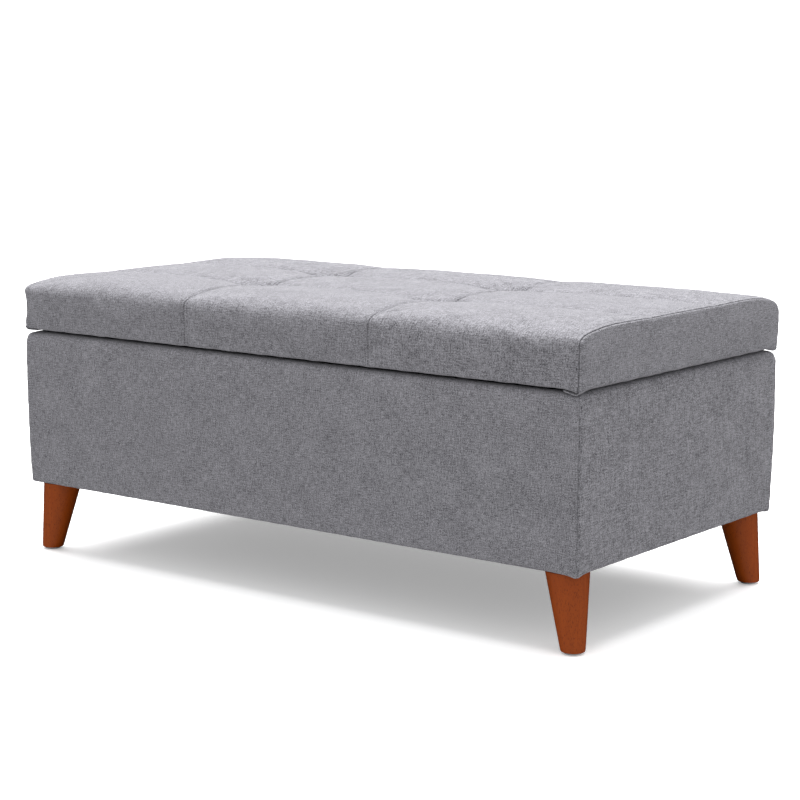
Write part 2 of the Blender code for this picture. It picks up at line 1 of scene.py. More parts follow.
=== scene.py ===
import bpy
import math
import numpy as np
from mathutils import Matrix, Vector


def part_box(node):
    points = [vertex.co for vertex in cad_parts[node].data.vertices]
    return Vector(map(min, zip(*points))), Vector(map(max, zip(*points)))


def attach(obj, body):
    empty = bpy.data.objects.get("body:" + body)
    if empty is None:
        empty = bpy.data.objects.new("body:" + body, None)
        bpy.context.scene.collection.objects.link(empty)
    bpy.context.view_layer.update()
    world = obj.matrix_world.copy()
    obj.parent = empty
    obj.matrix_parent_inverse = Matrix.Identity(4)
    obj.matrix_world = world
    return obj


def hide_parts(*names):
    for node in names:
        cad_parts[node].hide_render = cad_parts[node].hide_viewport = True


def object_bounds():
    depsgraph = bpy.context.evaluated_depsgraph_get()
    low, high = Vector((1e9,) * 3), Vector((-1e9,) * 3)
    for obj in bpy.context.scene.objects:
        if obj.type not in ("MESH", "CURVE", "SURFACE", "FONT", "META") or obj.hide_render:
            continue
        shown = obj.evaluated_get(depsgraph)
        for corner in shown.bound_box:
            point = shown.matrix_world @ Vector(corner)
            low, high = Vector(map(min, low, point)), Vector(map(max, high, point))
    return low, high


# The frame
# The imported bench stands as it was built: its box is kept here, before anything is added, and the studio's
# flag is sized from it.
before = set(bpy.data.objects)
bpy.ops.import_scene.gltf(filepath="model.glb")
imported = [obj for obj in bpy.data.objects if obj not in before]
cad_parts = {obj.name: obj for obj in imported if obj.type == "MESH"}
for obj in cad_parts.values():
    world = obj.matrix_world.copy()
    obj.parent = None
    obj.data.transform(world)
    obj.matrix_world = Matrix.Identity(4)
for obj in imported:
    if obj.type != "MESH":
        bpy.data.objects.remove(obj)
cad_box = [list(corner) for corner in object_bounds()]


# Camera
# A long lens a little above the seat, turned to show the front and the right-hand end.
eye = bpy.data.objects.new("camera", bpy.data.cameras.new("camera"))
bpy.context.scene.collection.objects.link(eye)
eye.data.lens = 94.36
eye.data.sensor_width = 36
eye.data.clip_start = 0.05
eye.data.clip_end = 100
eye.location = (2.0051, -2.5610, 0.7943)
eye.rotation_euler = (math.radians(90 - 9.240), 0, math.radians(37.743))
bpy.context.scene.camera = eye


# Studio
# A white floor, lit a little from below, and a white sweep behind it, under one wide softbox
# above and behind the bench and the even light of the room. The floor and the sweep throw no light
# back on the bench, so its sides stay darker than its top. Glossy finishes see a ceiling that
# darkens towards the horizon.
def srgb(code, alpha=1.0):
    """A hex colour as the linear one that shaders take."""
    parts = [int(code[i:i + 2], 16) / 255 for i in (1, 3, 5)]
    return (*[p / 12.92 if p <= 0.04045 else ((p + 0.055) / 1.055) ** 2.4 for p in parts], alpha)


def node(tree, kind, sockets=None, **settings):
    """Adds a node: settings are its options, and sockets its inputs' values or links."""
    made = tree.nodes.new(kind)
    for key, value in settings.items():
        setattr(made, key, value)
    for key, value in (sockets or {}).items():
        if isinstance(value, bpy.types.NodeSocket):
            tree.links.new(value, made.inputs[key])
        else:
            made.inputs[key].default_value = value
    return made


def blank_material(name):
    """A material with an empty node tree, and that tree."""
    made = bpy.data.materials.new(name)
    made.use_nodes = True
    made.node_tree.nodes.clear()
    return made, made.node_tree


def shade(tree, sockets):
    """Ends a material's tree with its shader and output."""
    shader = node(tree, "ShaderNodeBsdfPrincipled", sockets)
    node(tree, "ShaderNodeOutputMaterial", {"Surface": shader.outputs[0]})


def mesh_object(name, points, faces, material, smooth=True):
    """A mesh piece from its points and faces, in the bench's own frame."""
    mesh = bpy.data.meshes.new(name)
    mesh.from_pydata([tuple(map(float, p)) for p in points], [], faces)
    mesh.materials.append(material)
    mesh.polygons.foreach_set("use_smooth", [smooth] * len(mesh.polygons))
    mesh.update()
    made = bpy.data.objects.new(name, mesh)
    bpy.context.scene.collection.objects.link(made)
    return made


STUDIO_RADIUS = 24.0
FLAG_INSET = 0.01
SWEEP_RINGS = 10
SWEEP_SIDES = 48

floor_paint, tree = blank_material("studio_floor_paint")
mottle = node(tree, "ShaderNodeTexNoise", {"Scale": 3.0, "Detail": 2.0})
tone = node(
    tree, "ShaderNodeMix", {0: mottle.outputs[0], 6: srgb("#F1F1F2"), 7: srgb("#F6F6F6")}, data_type="RGBA",
)
shade(tree, {
    "Base Color": tone.outputs[2], "Roughness": 0.8, "Specular IOR Level": 0.1,
    "Emission Color": srgb("#FFFFFF"), "Emission Strength": 0.30,
})

sweep_glow, tree = blank_material("studio_sweep")
glow = node(tree, "ShaderNodeEmission", {"Color": srgb("#FFFFFF"), "Strength": 1.15})
node(tree, "ShaderNodeOutputMaterial", {"Surface": glow.outputs[0]})

angles = [2 * math.pi * i / SWEEP_SIDES for i in range(SWEEP_SIDES)]
rim = [(STUDIO_RADIUS * math.cos(a), STUDIO_RADIUS * math.sin(a), 0) for a in angles]
floor = mesh_object("studio_floor", rim, [list(range(SWEEP_SIDES))], floor_paint)
floor.visible_diffuse = False
floor.visible_glossy = False

ceiling_glow, tree = blank_material("studio_ceiling")
place = node(tree, "ShaderNodeSeparateXYZ", {0: node(tree, "ShaderNodeTexCoord").outputs["Object"]})
level = node(tree, "ShaderNodeMapRange", {0: place.outputs[2], 1: 0.0, 2: 20.0, 3: 0.30, 4: 1.2})
glow = node(tree, "ShaderNodeEmission", {"Color": srgb("#FFFFFF"), "Strength": level.outputs[0]})
node(tree, "ShaderNodeOutputMaterial", {"Surface": glow.outputs[0]})


def dome(name, radius, material):
    """Half a sphere over the studio."""
    points, faces = [], []
    for i in range(SWEEP_RINGS + 1):
        rise = math.pi / 2 * i / SWEEP_RINGS
        ring = radius * max(math.cos(rise), 0.001)
        points += [(ring * math.cos(a), ring * math.sin(a), radius * math.sin(rise)) for a in angles]
    for i in range(SWEEP_RINGS):
        for j in range(SWEEP_SIDES):
            low, high, k = i * SWEEP_SIDES, (i + 1) * SWEEP_SIDES, (j + 1) % SWEEP_SIDES
            faces.append([low + j, high + j, high + k, low + k])
    made = mesh_object(name, points, faces, material)
    made.visible_diffuse = False
    made.visible_shadow = False
    return made


sweep = dome("studio_sweep", STUDIO_RADIUS, sweep_glow)
sweep.visible_glossy = False
ceiling = dome("studio_ceiling", STUDIO_RADIUS - 1, ceiling_glow)
ceiling.visible_camera = False

# A black flag under the bench, just below the floor, which only soft light and gloss see: it
# keeps the light that comes up through the floor off the legs' inner sides.
flag_black, tree = blank_material("studio_flag_cloth")
nap = node(tree, "ShaderNodeTexNoise", {"Scale": 40.0})
tone = node(
    tree, "ShaderNodeMix", {0: nap.outputs[0], 6: srgb("#1A1A1A"), 7: srgb("#262626")}, data_type="RGBA",
)
shade(tree, {"Base Color": tone.outputs[2], "Roughness": 0.9, "Specular IOR Level": 0.1})
flag_x, flag_y = cad_box[1][0] - FLAG_INSET, -cad_box[0][1] - FLAG_INSET
corners = [(sx * flag_x, sy * flag_y, -0.004) for sx, sy in ((1, -1), (1, 1), (-1, 1), (-1, -1))]
flag = mesh_object("studio_flag", corners, [[0, 1, 2, 3]], flag_black)
flag.visible_camera = False
flag.visible_shadow = False

world = bpy.data.worlds.new("studio_air")
world.use_nodes = True
world.node_tree.nodes["Background"].inputs["Color"].default_value = srgb("#FFFFFF")
world.node_tree.nodes["Background"].inputs["Strength"].default_value = 0.81
world.cycles_visibility.glossy = False
bpy.context.scene.world = world
bpy.context.scene.view_settings.view_transform = "Standard"

softbox = bpy.data.objects.new("softbox_overhead", bpy.data.lights.new("softbox_overhead", "SUN"))
softbox.data.energy = 5.2
softbox.data.angle = math.radians(64)
softbox.rotation_euler = (math.radians(-24), 0, math.radians(44))
bpy.context.scene.collection.objects.link(softbox)


# Plywood box
# Four 12 mm birch plywood walls and a floor, with pine posts glued and pinned in the corners. It
# is rough-sawn and unfinished, because the cover and the lining hide it.
def object_point(tree, scale, turn=(0, 0, 0)):
    """A piece's own coordinates, scaled by 1 / the size of a feature along each axis."""
    place = node(tree, "ShaderNodeTexCoord").outputs["Object"]
    turned = node(tree, "ShaderNodeMapping", {"Vector": place, "Rotation": turn, "Scale": scale})
    return turned.outputs[0]


def dress(nodes, material):
    """Gives CAD nodes that are shown as they are a better material."""
    for name in nodes:
        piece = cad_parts[name]
        piece.data.materials.clear()
        piece.data.materials.append(material)


def raw_wood(name, pale, dark, line_mm, length_mm):
    """Unfinished wood: fibres that run along X, line_mm apart and length_mm long."""
    made, tree = blank_material(name)
    point = object_point(tree, (1000 / length_mm, 1000 / line_mm, 1000 / line_mm))
    fibre = node(
        tree, "ShaderNodeTexNoise", {"Vector": point, "Scale": 1.0, "Detail": 6.0, "Distortion": 0.6},
    )
    colour = node(
        tree, "ShaderNodeMix", {0: fibre.outputs[0], 6: srgb(pale), 7: srgb(dark)}, data_type="RGBA",
    )
    relief = node(tree, "ShaderNodeBump", {"Height": fibre.outputs[0], "Strength": 0.3, "Distance": 0.0004})
    shade(
        tree, {"Base Color": colour.outputs[2], "Roughness": 0.72, "IOR": 1.5, "Normal": relief.outputs[0]},
    )
    return made


birch = raw_wood("birch_plywood_raw", "#E2C79A", "#C29F6C", 3, 90)
pine = raw_wood("pine_block_raw", "#E6C48D", "#BE8F52", 4, 120)
walls = ["front_panel", "back_panel", "left_end_panel", "right_end_panel", "floor_panel"]
dress(walls, birch)
dress([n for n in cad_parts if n.startswith("corner_post")], pine)


# Base upholstery
# A grey woven polyester cover over 6 mm wadding: one panel on each side, sewn at the four upright
# corners, turned in over the rim and stapled under the bottom edge. The wadding makes the sides
# bulge, and the sewing pulls them in and puckers them at the corners.
def woven_polyester(name, shade_low, shade_high):
    """Linen-look polyester: matt, with pale and dark fibres mixed in each yarn."""
    # The real yarns lie 0.7 mm apart, finer than the render shows, so they are drawn 2.3 mm apart.
    yarn, slub = 0.0023, 0.011
    made, tree = blank_material(name)
    cloth = node(tree, "ShaderNodeAttribute", attribute_name="cloth").outputs["Vector"]

    def yarns(scale, detail):
        point = node(tree, "ShaderNodeMapping", {"Vector": cloth, "Scale": scale}).outputs[0]
        return node(tree, "ShaderNodeTexNoise", {"Vector": point, "Scale": 1.0, "Detail": detail}).outputs[0]

    warp = yarns((1 / (0.7 * yarn), 1 / slub, 1.0), 2.0)
    weft = yarns((1 / slub, 1 / (0.7 * yarn), 1.0), 2.0)
    fibre = yarns((1 / (0.45 * yarn), 1 / (0.45 * yarn), 1.0), 1.0)
    drift = yarns((1 / 0.045, 1 / 0.045, 1.0), 2.0)
    split = node(tree, "ShaderNodeSeparateXYZ", {0: cloth})
    waves = []
    for axis in (0, 1):
        turn = node(
            tree, "ShaderNodeMath", {0: split.outputs[axis], 1: math.pi / yarn}, operation="MULTIPLY",
        )
        waves.append(node(tree, "ShaderNodeMath", {0: turn.outputs[0]}, operation="SINE").outputs[0])
    crossing = node(tree, "ShaderNodeMath", {0: waves[0], 1: waves[1]}, operation="MULTIPLY")
    over = node(tree, "ShaderNodeMapRange", {0: crossing.outputs[0], 1: -0.4, 2: 0.4}).outputs[0]
    yarn_tone = node(tree, "ShaderNodeMix", {0: over, 2: warp, 3: weft}).outputs[0]
    with_fibre = node(tree, "ShaderNodeMix", {0: 0.5, 2: yarn_tone, 3: fibre}).outputs[0]
    tone = node(tree, "ShaderNodeMix", {0: 0.07, 2: with_fibre, 3: drift}).outputs[0]
    spread = node(tree, "ShaderNodeMapRange", {0: tone, 1: 0.37, 2: 0.63}).outputs[0]
    colour = node(
        tree, "ShaderNodeMix", {0: spread, 6: srgb(shade_low), 7: srgb(shade_high)}, data_type="RGBA",
    )
    round_yarn = node(tree, "ShaderNodeMath", {0: crossing.outputs[0]}, operation="ABSOLUTE").outputs[0]
    height = node(tree, "ShaderNodeMix", {0: 0.5, 2: round_yarn, 3: with_fibre}).outputs[0]
    relief = node(tree, "ShaderNodeBump", {"Height": height, "Strength": 0.45, "Distance": 0.0006})
    shade(tree, {
        "Base Color": colour.outputs[2], "Roughness": 0.95, "IOR": 1.5, "Specular IOR Level": 0.2,
        "Sheen Weight": 0.22, "Sheen Roughness": 0.45, "Sheen Tint": srgb("#E6E5EA"),
        "Normal": relief.outputs[0],
    })
    return made


def arc(centre, radius, start, end, steps):
    """Points on an arc in a section's plane, the angles in degrees."""
    turns = [math.radians(start + (end - start) * i / steps) for i in range(steps + 1)]
    return [(centre[0] + radius * math.cos(t), centre[1] + radius * math.sin(t)) for t in turns]


def ripple(t, length, seed):
    """A smooth, irregular wave of t between about -1 and 1, length long."""
    pick = np.random.default_rng(seed)
    total = 0
    for share in (1.0, 0.61, 0.37):
        phase = pick.uniform(0, 2 * np.pi)
        total = total + math.sqrt(share) * np.sin(2 * np.pi * t / (length * share) + phase)
    return total / 2.4


def along_path(path, stops):
    """Points and outward normals at distances along a section's path."""
    path = np.array(path)
    length = np.concatenate([[0], np.cumsum(np.linalg.norm(np.diff(path, axis=0), axis=1))])
    place = np.stack([np.interp(stops, length, path[:, k]) for k in (0, 1)], 1)
    reach = 0.0012
    ahead = np.stack([np.interp(stops + reach, length, path[:, k]) for k in (0, 1)], 1)
    behind = np.stack([np.interp(stops - reach, length, path[:, k]) for k in (0, 1)], 1)
    heading = ahead - behind
    heading /= np.linalg.norm(heading, axis=1)[:, None]
    return place, np.stack([-heading[:, 1], heading[:, 0]], 1), length[-1]


def stops_between(start, end, step, fine_at=(), fine=(0.0005, 0.0012, 0.002, 0.0032, 0.005, 0.0075)):
    """Distances from start to end, step apart, and closer on either side of each seam."""
    found = set(np.round(np.linspace(start, end, max(2, round((end - start) / step) + 1)), 6))
    for seam in fine_at:
        found = {s for s in found if abs(s - seam) > fine[-1] + step * 0.35 or s in (start, end)}
        found |= {round(seam + side * f, 6) for f in (0, *fine) for side in (-1, 1)}
    found = {s for s in found if start - 1e-7 <= s <= end + 1e-7}
    return np.array(sorted(found))


def grid_faces(rows, columns, wrap=False):
    """The faces of a grid of points, looking out of the cloth."""
    faces = []
    for i in range(rows - 1):
        for j in range(columns if wrap else columns - 1):
            k = (j + 1) % columns
            faces.append([i * columns + j, i * columns + k, (i + 1) * columns + k, (i + 1) * columns + j])
    return faces


def cloth_piece(name, points, faces, thread, material, thickness):
    """A piece of cloth with a real thickness, carrying the lie of its threads in metres."""
    made = mesh_object(name, points, faces, material)
    lie = made.data.attributes.new("cloth", "FLOAT_VECTOR", "POINT")
    lie.data.foreach_set("vector", np.asarray(thread, np.float32).ravel())
    smoothing = made.modifiers.new("smoothing", "SUBSURF")
    smoothing.levels = smoothing.render_levels = 1
    if thickness:
        body = made.modifiers.new("thickness", "SOLIDIFY")
        body.thickness = thickness
        body.offset = -1
    return made


def stitches(name, line, outward, material, length=0.0036, gap=0.0014, thickness=0.0004):
    """A row of sewn stitches along a line of points on cloth."""
    line, outward = np.asarray(line), np.asarray(outward)
    run = np.concatenate([[0], np.cumsum(np.linalg.norm(np.diff(line, axis=0), axis=1))])
    points, faces = [], []
    sides, bows = 6, (-1.0, -0.85, -0.4, 0.4, 0.85, 1.0)
    for start in np.arange(gap, run[-1] - length, length + gap):
        middle = start + length / 2
        at = [np.interp(middle, run, line[:, k]) for k in range(3)]
        near = [np.interp(start, run, line[:, k]) for k in range(3)]
        up = np.array([np.interp(middle, run, outward[:, k]) for k in range(3)])
        up /= max(np.linalg.norm(up), 1e-9)
        ahead = np.array(at) - np.array(near)
        ahead /= max(np.linalg.norm(ahead), 1e-9)
        aside = np.cross(up, ahead)
        first = len(points)
        for bow in bows:
            thick = thickness * math.sqrt(max(1 - abs(bow) ** 3, 0.06))
            centre = np.array(at) + ahead * bow * length / 2 + up * thickness * (0.25 - 0.9 * bow ** 4)
            for s in range(sides):
                turn = 2 * math.pi * s / sides
                points.append(centre + thick * (aside * math.cos(turn) + up * math.sin(turn)))
        for b in range(len(bows) - 1):
            for s in range(sides):
                n = (s + 1) % sides
                row = first + b * sides
                faces.append([row + s, row + n, row + sides + n, row + sides + s])
        faces.append([first + s for s in range(sides)][::-1])
        faces.append([first + (len(bows) - 1) * sides + s for s in range(sides)])
    return mesh_object(name, points, faces, material)


cover_grey = woven_polyester("grey_linen_weave_cloth", "#39383C", "#A6A5AB")
thread_grey, tree = blank_material("grey_sewing_thread")
ply = node(tree, "ShaderNodeTexNoise", {"Vector": object_point(tree, (900, 900, 900)), "Scale": 1.0})
tone = node(
    tree, "ShaderNodeMix", {0: ply.outputs[0], 6: srgb("#68676C"), 7: srgb("#8B8A90")}, data_type="RGBA",
)
shade(tree, {"Base Color": tone.outputs[2], "Roughness": 0.6, "IOR": 1.5, "Sheen Weight": 0.15})

BASE_X = -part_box("base_cover_left")[0].x
BASE_Y = -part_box("base_cover_front")[0].y
BASE_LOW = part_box("base_cover_front")[0].z
RIM_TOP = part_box("base_cover_front")[1].z
CLOTH = 0.0012
CORNER_RADIUS = 0.004
UNDER_EDGE_RADIUS = 0.006
RIM_RADIUS = 0.009
UNDER_RETURN = 0.0192
INNER_RETURN_IN = BASE_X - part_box("storage_liner")[1].x - 0.0002
INNER_RETURN_DROP = 0.0245
BULGE = 0.0028
WADDING = 0.006
WALL_FACE = BASE_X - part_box("base_foam_wrap")[1].x + WADDING
# Each side's direction out of the bench, and the direction along it.
SIDES = {
    "front": ((0, -1), (1, 0)), "right": ((1, 0), (0, 1)),
    "back": ((0, 1), (-1, 0)), "left": ((-1, 0), (0, -1)),
}


def side_point(side, share, inset):
    """A point in plan on one side, share of the way from its middle to a corner seam."""
    out, along = (np.array(v, float) for v in SIDES[side])
    half, across = (BASE_X, BASE_Y) if side in ("front", "back") else (BASE_Y, BASE_X)
    radius = np.maximum(CORNER_RADIUS - inset, 0.0004)
    flat = half - inset - radius
    run = np.abs(share) * (flat + radius * math.pi / 4)
    turn = np.clip((run - flat) / radius, 0, math.pi / 4)
    straight = np.minimum(run, flat) + radius * np.sin(turn)
    depth = across - inset - radius * (1 - np.cos(turn))
    place = out * depth[..., None] + along * (np.sign(share) * straight)[..., None]
    facing = out * np.cos(turn)[..., None] + along * (np.sign(share) * np.sin(turn))[..., None]
    return place, facing


# The cover's outside in (inset, height), from under the bottom edge up and over the rim.
under = (UNDER_EDGE_RADIUS, BASE_LOW + UNDER_EDGE_RADIUS)
over_rim = (RIM_RADIUS, RIM_TOP - RIM_RADIUS)
inner_turn = (INNER_RETURN_IN - 0.002, RIM_TOP - 0.002)
wall_path = [(UNDER_RETURN, BASE_LOW)] + arc(under, UNDER_EDGE_RADIUS, 270, 180, 5)
wall_path += arc(over_rim, RIM_RADIUS, 180, 90, 8) + arc(inner_turn, 0.002, 90, 0, 4)
wall_path += [(INNER_RETURN_IN, RIM_TOP - INNER_RETURN_DROP)]
_, _, wall_length = along_path(wall_path, np.array([0.0]))
wall_stops = stops_between(0, wall_length, 0.0062)
under_steps, rim_steps = np.linspace(0.010, 0.026, 8), np.linspace(0.248, 0.285, 16)
wall_stops = np.unique(np.concatenate([wall_stops, under_steps, rim_steps]))
wall_line, _, _ = along_path(wall_path, wall_stops)
face_low, face_high = BASE_LOW + UNDER_EDGE_RADIUS, RIM_TOP - RIM_RADIUS

# Each side's panel, from seam to seam. It bulges over the wadding, puckers at the seams, is
# drawn down at the rim's corners, and hangs a little below the bottom edge at each corner.
SEAM_PULL = 0.030
SEAM_GROOVE = 0.0013
CORNER_HANG = 0.0052
FRONT_LEFT_HANG = 0.0015
ring_points, ring_thread, ring_side, ring_lining = [], [], [], []
for number, side in enumerate(SIDES):
    half = BASE_X if side in ("front", "back") else BASE_Y
    ends = (0.0006, 0.0014, 0.0024, 0.0036, 0.005, 0.0068, 0.009, 0.012, 0.016, 0.021)
    stops = stops_between(-half, half, 0.008, (-half, half), ends)
    share = (stops / half)[None, :]
    inset, height = (wall_line[:, k][:, None] + 0 * share for k in (0, 1))
    from_seam = np.maximum(half - np.abs(stops)[None, :], 0) + 0 * inset
    rise = np.clip((height - face_low) / (face_high - face_low), 0, 1)
    on_face = np.clip(1 - inset / 0.012, 0, 1)
    ends_in = 1 - np.exp(-from_seam / SEAM_PULL)
    swell = BULGE * np.sin(np.pi * np.clip(rise, 0.03, 0.97)) ** 0.75 * (0.35 + 0.65 * ends_in)
    swell = swell + 0.0030 * np.clip(rise / 0.8, 0, 1) ** 0.8 * np.clip((1 - rise) / 0.05 + 0.4, 0, 1)
    lumps = 0.0006 * ripple(stops[None, :] + 0.4 * height, 0.19, number) * np.sin(np.pi * rise)
    pucker = np.exp(-from_seam / 0.013) * ripple(height + 0.3 * from_seam, 0.034, 10 + number) * 0.0007
    low_wave = ripple(stops[None, :] + 0 * height, 0.046, 20 + number)
    lower = np.exp(-np.abs(height - BASE_LOW) / 0.016) * low_wave
    groove = SEAM_GROOVE * np.exp(-((from_seam / SEAM_GROOVE) ** 2)) * np.clip(on_face * 1.4, 0, 1)
    inset = inset - on_face * (swell + lumps + pucker + 0.0005 * lower) + groove
    corner_drop = np.exp(-from_seam / 0.014) * np.clip((height - face_high + 0.012) / 0.02, 0, 1)
    height = height - 0.0016 * corner_drop * np.clip(1 - inset / 0.03, 0, 1)
    under_corner = np.exp(-((from_seam / 0.013) ** 1.6)) * np.clip(1 - (height - BASE_LOW) / 0.012, 0, 1)
    front_left = (stops[None, :] * (1 if side == "left" else -1) > 0) & (side in ("front", "left"))
    hang = np.where(front_left, FRONT_LEFT_HANG, CORNER_HANG)
    height = height - hang * under_corner * np.clip(1 - inset / 0.012, 0, 1) - 0.0004 * lower * on_face
    place, _ = side_point(side, share + 0 * inset, inset)
    ring_points.append(np.concatenate([place, height[..., None]], 2))
    run = stops[None, :] + 0 * inset
    ring_thread.append(np.stack([run, wall_stops[:, None] + 0 * run, number * 3.7 + 0 * run], 2))
    ring_side.append(np.full(len(stops), number))
    behind, _ = side_point(side, share, np.full(share.shape, WALL_FACE))
    ring_lining.append(behind[0])

base_skin = np.concatenate(ring_points, 1)
side_of = np.concatenate(ring_side)
for number, side in enumerate(SIDES):
    pick = side_of == number
    skin, thread = base_skin[:, pick], ring_thread[number]
    count = skin.shape[1]
    cover = cloth_piece(
        f"upholstery_{side}", skin.reshape(-1, 3), grid_faces(len(wall_stops), count), thread.reshape(-1, 3),
        cover_grey, CLOTH,
    )
    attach(cover, "base")
    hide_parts(f"base_cover_{side}")


# Base wadding
# Bonded polyester wadding, 6 mm thick, glued round the outside of the walls and over the rim. It
# lies close under the cover and shows only where the cover is taken off.
def grid_normals(skin, wrap=False):
    """Outward directions at a grid's points."""
    if wrap:
        across = np.roll(skin, -1, 1) - np.roll(skin, 1, 1)
    else:
        across = np.gradient(skin, axis=1)
    facing = np.cross(across, np.gradient(skin, axis=0))
    return facing / np.maximum(np.linalg.norm(facing, axis=2), 1e-9)[..., None]


wadding_white, tree = blank_material("polyester_wadding_white")
tufty = node(
    tree, "ShaderNodeTexNoise", {"Vector": object_point(tree, (250, 250, 250)), "Scale": 1.0, "Detail": 5.0},
)
tone = node(
    tree, "ShaderNodeMix", {0: tufty.outputs[0], 6: srgb("#D9D9D6"), 7: srgb("#F3F3F1")}, data_type="RGBA",
)
relief = node(tree, "ShaderNodeBump", {"Height": tufty.outputs[0], "Strength": 0.6, "Distance": 0.002})
shade(
    tree,
    {"Base Color": tone.outputs[2], "Roughness": 1.0, "Sheen Weight": 0.4, "Normal": relief.outputs[0]},
)

WALL_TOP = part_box("front_panel")[1].z + 0.0003
WALL_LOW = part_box("front_panel")[0].z
inside = base_skin - grid_normals(base_skin, True) * 0.0019
outer = inside[(wall_stops > 0.0165) & (wall_line[:, 0] < 0.0185) & (wall_stops < 0.29)]
lining = np.concatenate(ring_lining)
low_ring = np.concatenate([lining, np.full((len(lining), 1), WALL_LOW)], 1)
high_ring = np.concatenate([lining, np.full((len(lining), 1), WALL_TOP)], 1)
outer[:, :, 2] = np.maximum(outer[:, :, 2], WALL_LOW)
inner_rim = outer[-1].copy()
inner_rim[:, 2] = WALL_TOP
wadding_rings = np.concatenate([low_ring[None], outer, inner_rim[None], high_ring[None], low_ring[None]])
rows, columns = wadding_rings.shape[:2]
wadding = mesh_object(
    "wadding_wrap", wadding_rings.reshape(-1, 3), grid_faces(rows, columns, True), wadding_white,
)
weld = wadding.modifiers.new("closing", "WELD")
weld.merge_threshold = 0.00001
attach(wadding, "base")
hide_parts("base_foam_wrap")


# Lining and dust cover
# Black spun-bonded polypropylene cloth. The lining is one piece folded into the storage space,
# turned over at its top edge, passing across the corner posts. The dust cover is stretched under
# the base and stapled over the cover's edges.
def spun_bonded(name):
    """Non-woven cloth: matt black fibres, with a grid of small pressed points."""
    # The pressed points are 1.3 mm apart on the real cloth and drawn 2.6 mm apart, to show.
    made, tree = blank_material(name)
    point = object_point(tree, (1, 1, 1))
    pressed = node(tree, "ShaderNodeTexVoronoi", {"Vector": point, "Scale": 1 / 0.0026, "Randomness": 0.25})
    fibre = node(tree, "ShaderNodeTexNoise", {"Vector": point, "Scale": 900.0, "Detail": 3.0})
    tone = node(tree, "ShaderNodeMix", {0: 0.5, 2: pressed.outputs[0], 3: fibre.outputs[0]}).outputs[0]
    colour = node(tree, "ShaderNodeMix", {0: tone, 6: srgb("#161617"), 7: srgb("#2B2B2D")}, data_type="RGBA")
    relief = node(tree, "ShaderNodeBump", {"Height": tone, "Strength": 0.4, "Distance": 0.0004})
    shade(tree, {
        "Base Color": colour.outputs[2], "Roughness": 0.82, "Sheen Weight": 0.1, "Normal": relief.outputs[0],
    })
    return made


def staples(name, places, body, crown=0.0098, wire=0.0007):
    """Steel staples pressed flat on cloth: each place is a middle, the way it lies, and its up."""
    points, faces = [], []
    for middle, along, up in places:
        middle, along, up = (np.array(v, float) for v in (middle, along, up))
        aside = np.cross(up, along)
        first = len(points)
        bends = ((-0.5, -0.8), (-0.48, 0.35), (-0.40, 0.8), (0.40, 0.8), (0.48, 0.35), (0.5, -0.8))
        for reach, rise in bends:
            spine = middle + along * crown * reach + up * wire * (rise - 0.5)
            for a, b in ((-0.6, -0.5), (0.6, -0.5), (0.45, 0.5), (-0.45, 0.5)):
                points.append(spine + aside * wire * a + up * wire * b * 0.6)
        for ring in range(5):
            for k in range(4):
                n = (k + 1) % 4
                row = first + ring * 4
                faces.append([row + k, row + 4 + k, row + 4 + n, row + n])
        faces.append([first, first + 1, first + 2, first + 3])
        faces.append([first + 23, first + 22, first + 21, first + 20])
    made = mesh_object(name, points, faces, zinc, smooth=False)
    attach(made, body)
    return made


def zinc_plate(name):
    """Bright zinc plate on rolled steel: cool grey, softly streaked, a little blurred."""
    made, tree = blank_material(name)
    streak = node(
        tree, "ShaderNodeTexNoise",
        {"Vector": object_point(tree, (60, 900, 900)), "Scale": 1.0, "Detail": 4.0},
    )
    bloom = node(
        tree, "ShaderNodeTexNoise",
        {"Vector": object_point(tree, (110, 110, 110)), "Scale": 1.0, "Detail": 3.0},
    )
    tone = node(
        tree, "ShaderNodeMix", {0: bloom.outputs[0], 6: srgb("#A9ABAC"), 7: srgb("#D3D4D3")},
        data_type="RGBA",
    )
    rough = node(tree, "ShaderNodeMapRange", {0: streak.outputs[0], 3: 0.24, 4: 0.42})
    relief = node(
        tree, "ShaderNodeBump", {"Height": streak.outputs[0], "Strength": 0.12, "Distance": 0.0002},
    )
    shade(tree, {
        "Base Color": tone.outputs[2], "Metallic": 1.0, "Roughness": rough.outputs[0],
        "Normal": relief.outputs[0],
    })
    return made


zinc = zinc_plate("zinc_plated_steel_bright")
lining_black = spun_bonded("black_spun_bonded")

LINING_IN = BASE_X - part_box("storage_liner")[1].x + 0.0005
LINING_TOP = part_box("storage_liner")[1].z
LINING_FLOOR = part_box("storage_liner")[0].z + 0.0009
POST_CUT = 0.0222


def lining_plan(inset, step=0.011):
    """The lining's outline in plan, its corners cut off across the posts."""
    x, y = BASE_X - inset, BASE_Y - inset
    cut = POST_CUT - (inset - LINING_IN) * (2 - math.sqrt(2))
    bends = [(x, -y + cut), (x, y - cut), (x - cut, y), (-x + cut, y), (-x, y - cut), (-x, -y + cut)]
    bends += [(-x + cut, -y), (x - cut, -y)]
    plan = []
    for start, end in zip(bends, bends[1:] + bends[:1]):
        count = max(3, round(math.dist(start, end) / step))
        plan += [[s + (e - s) * i / count for s, e in zip(start, end)] for i in range(count)]
    return np.array(plan)


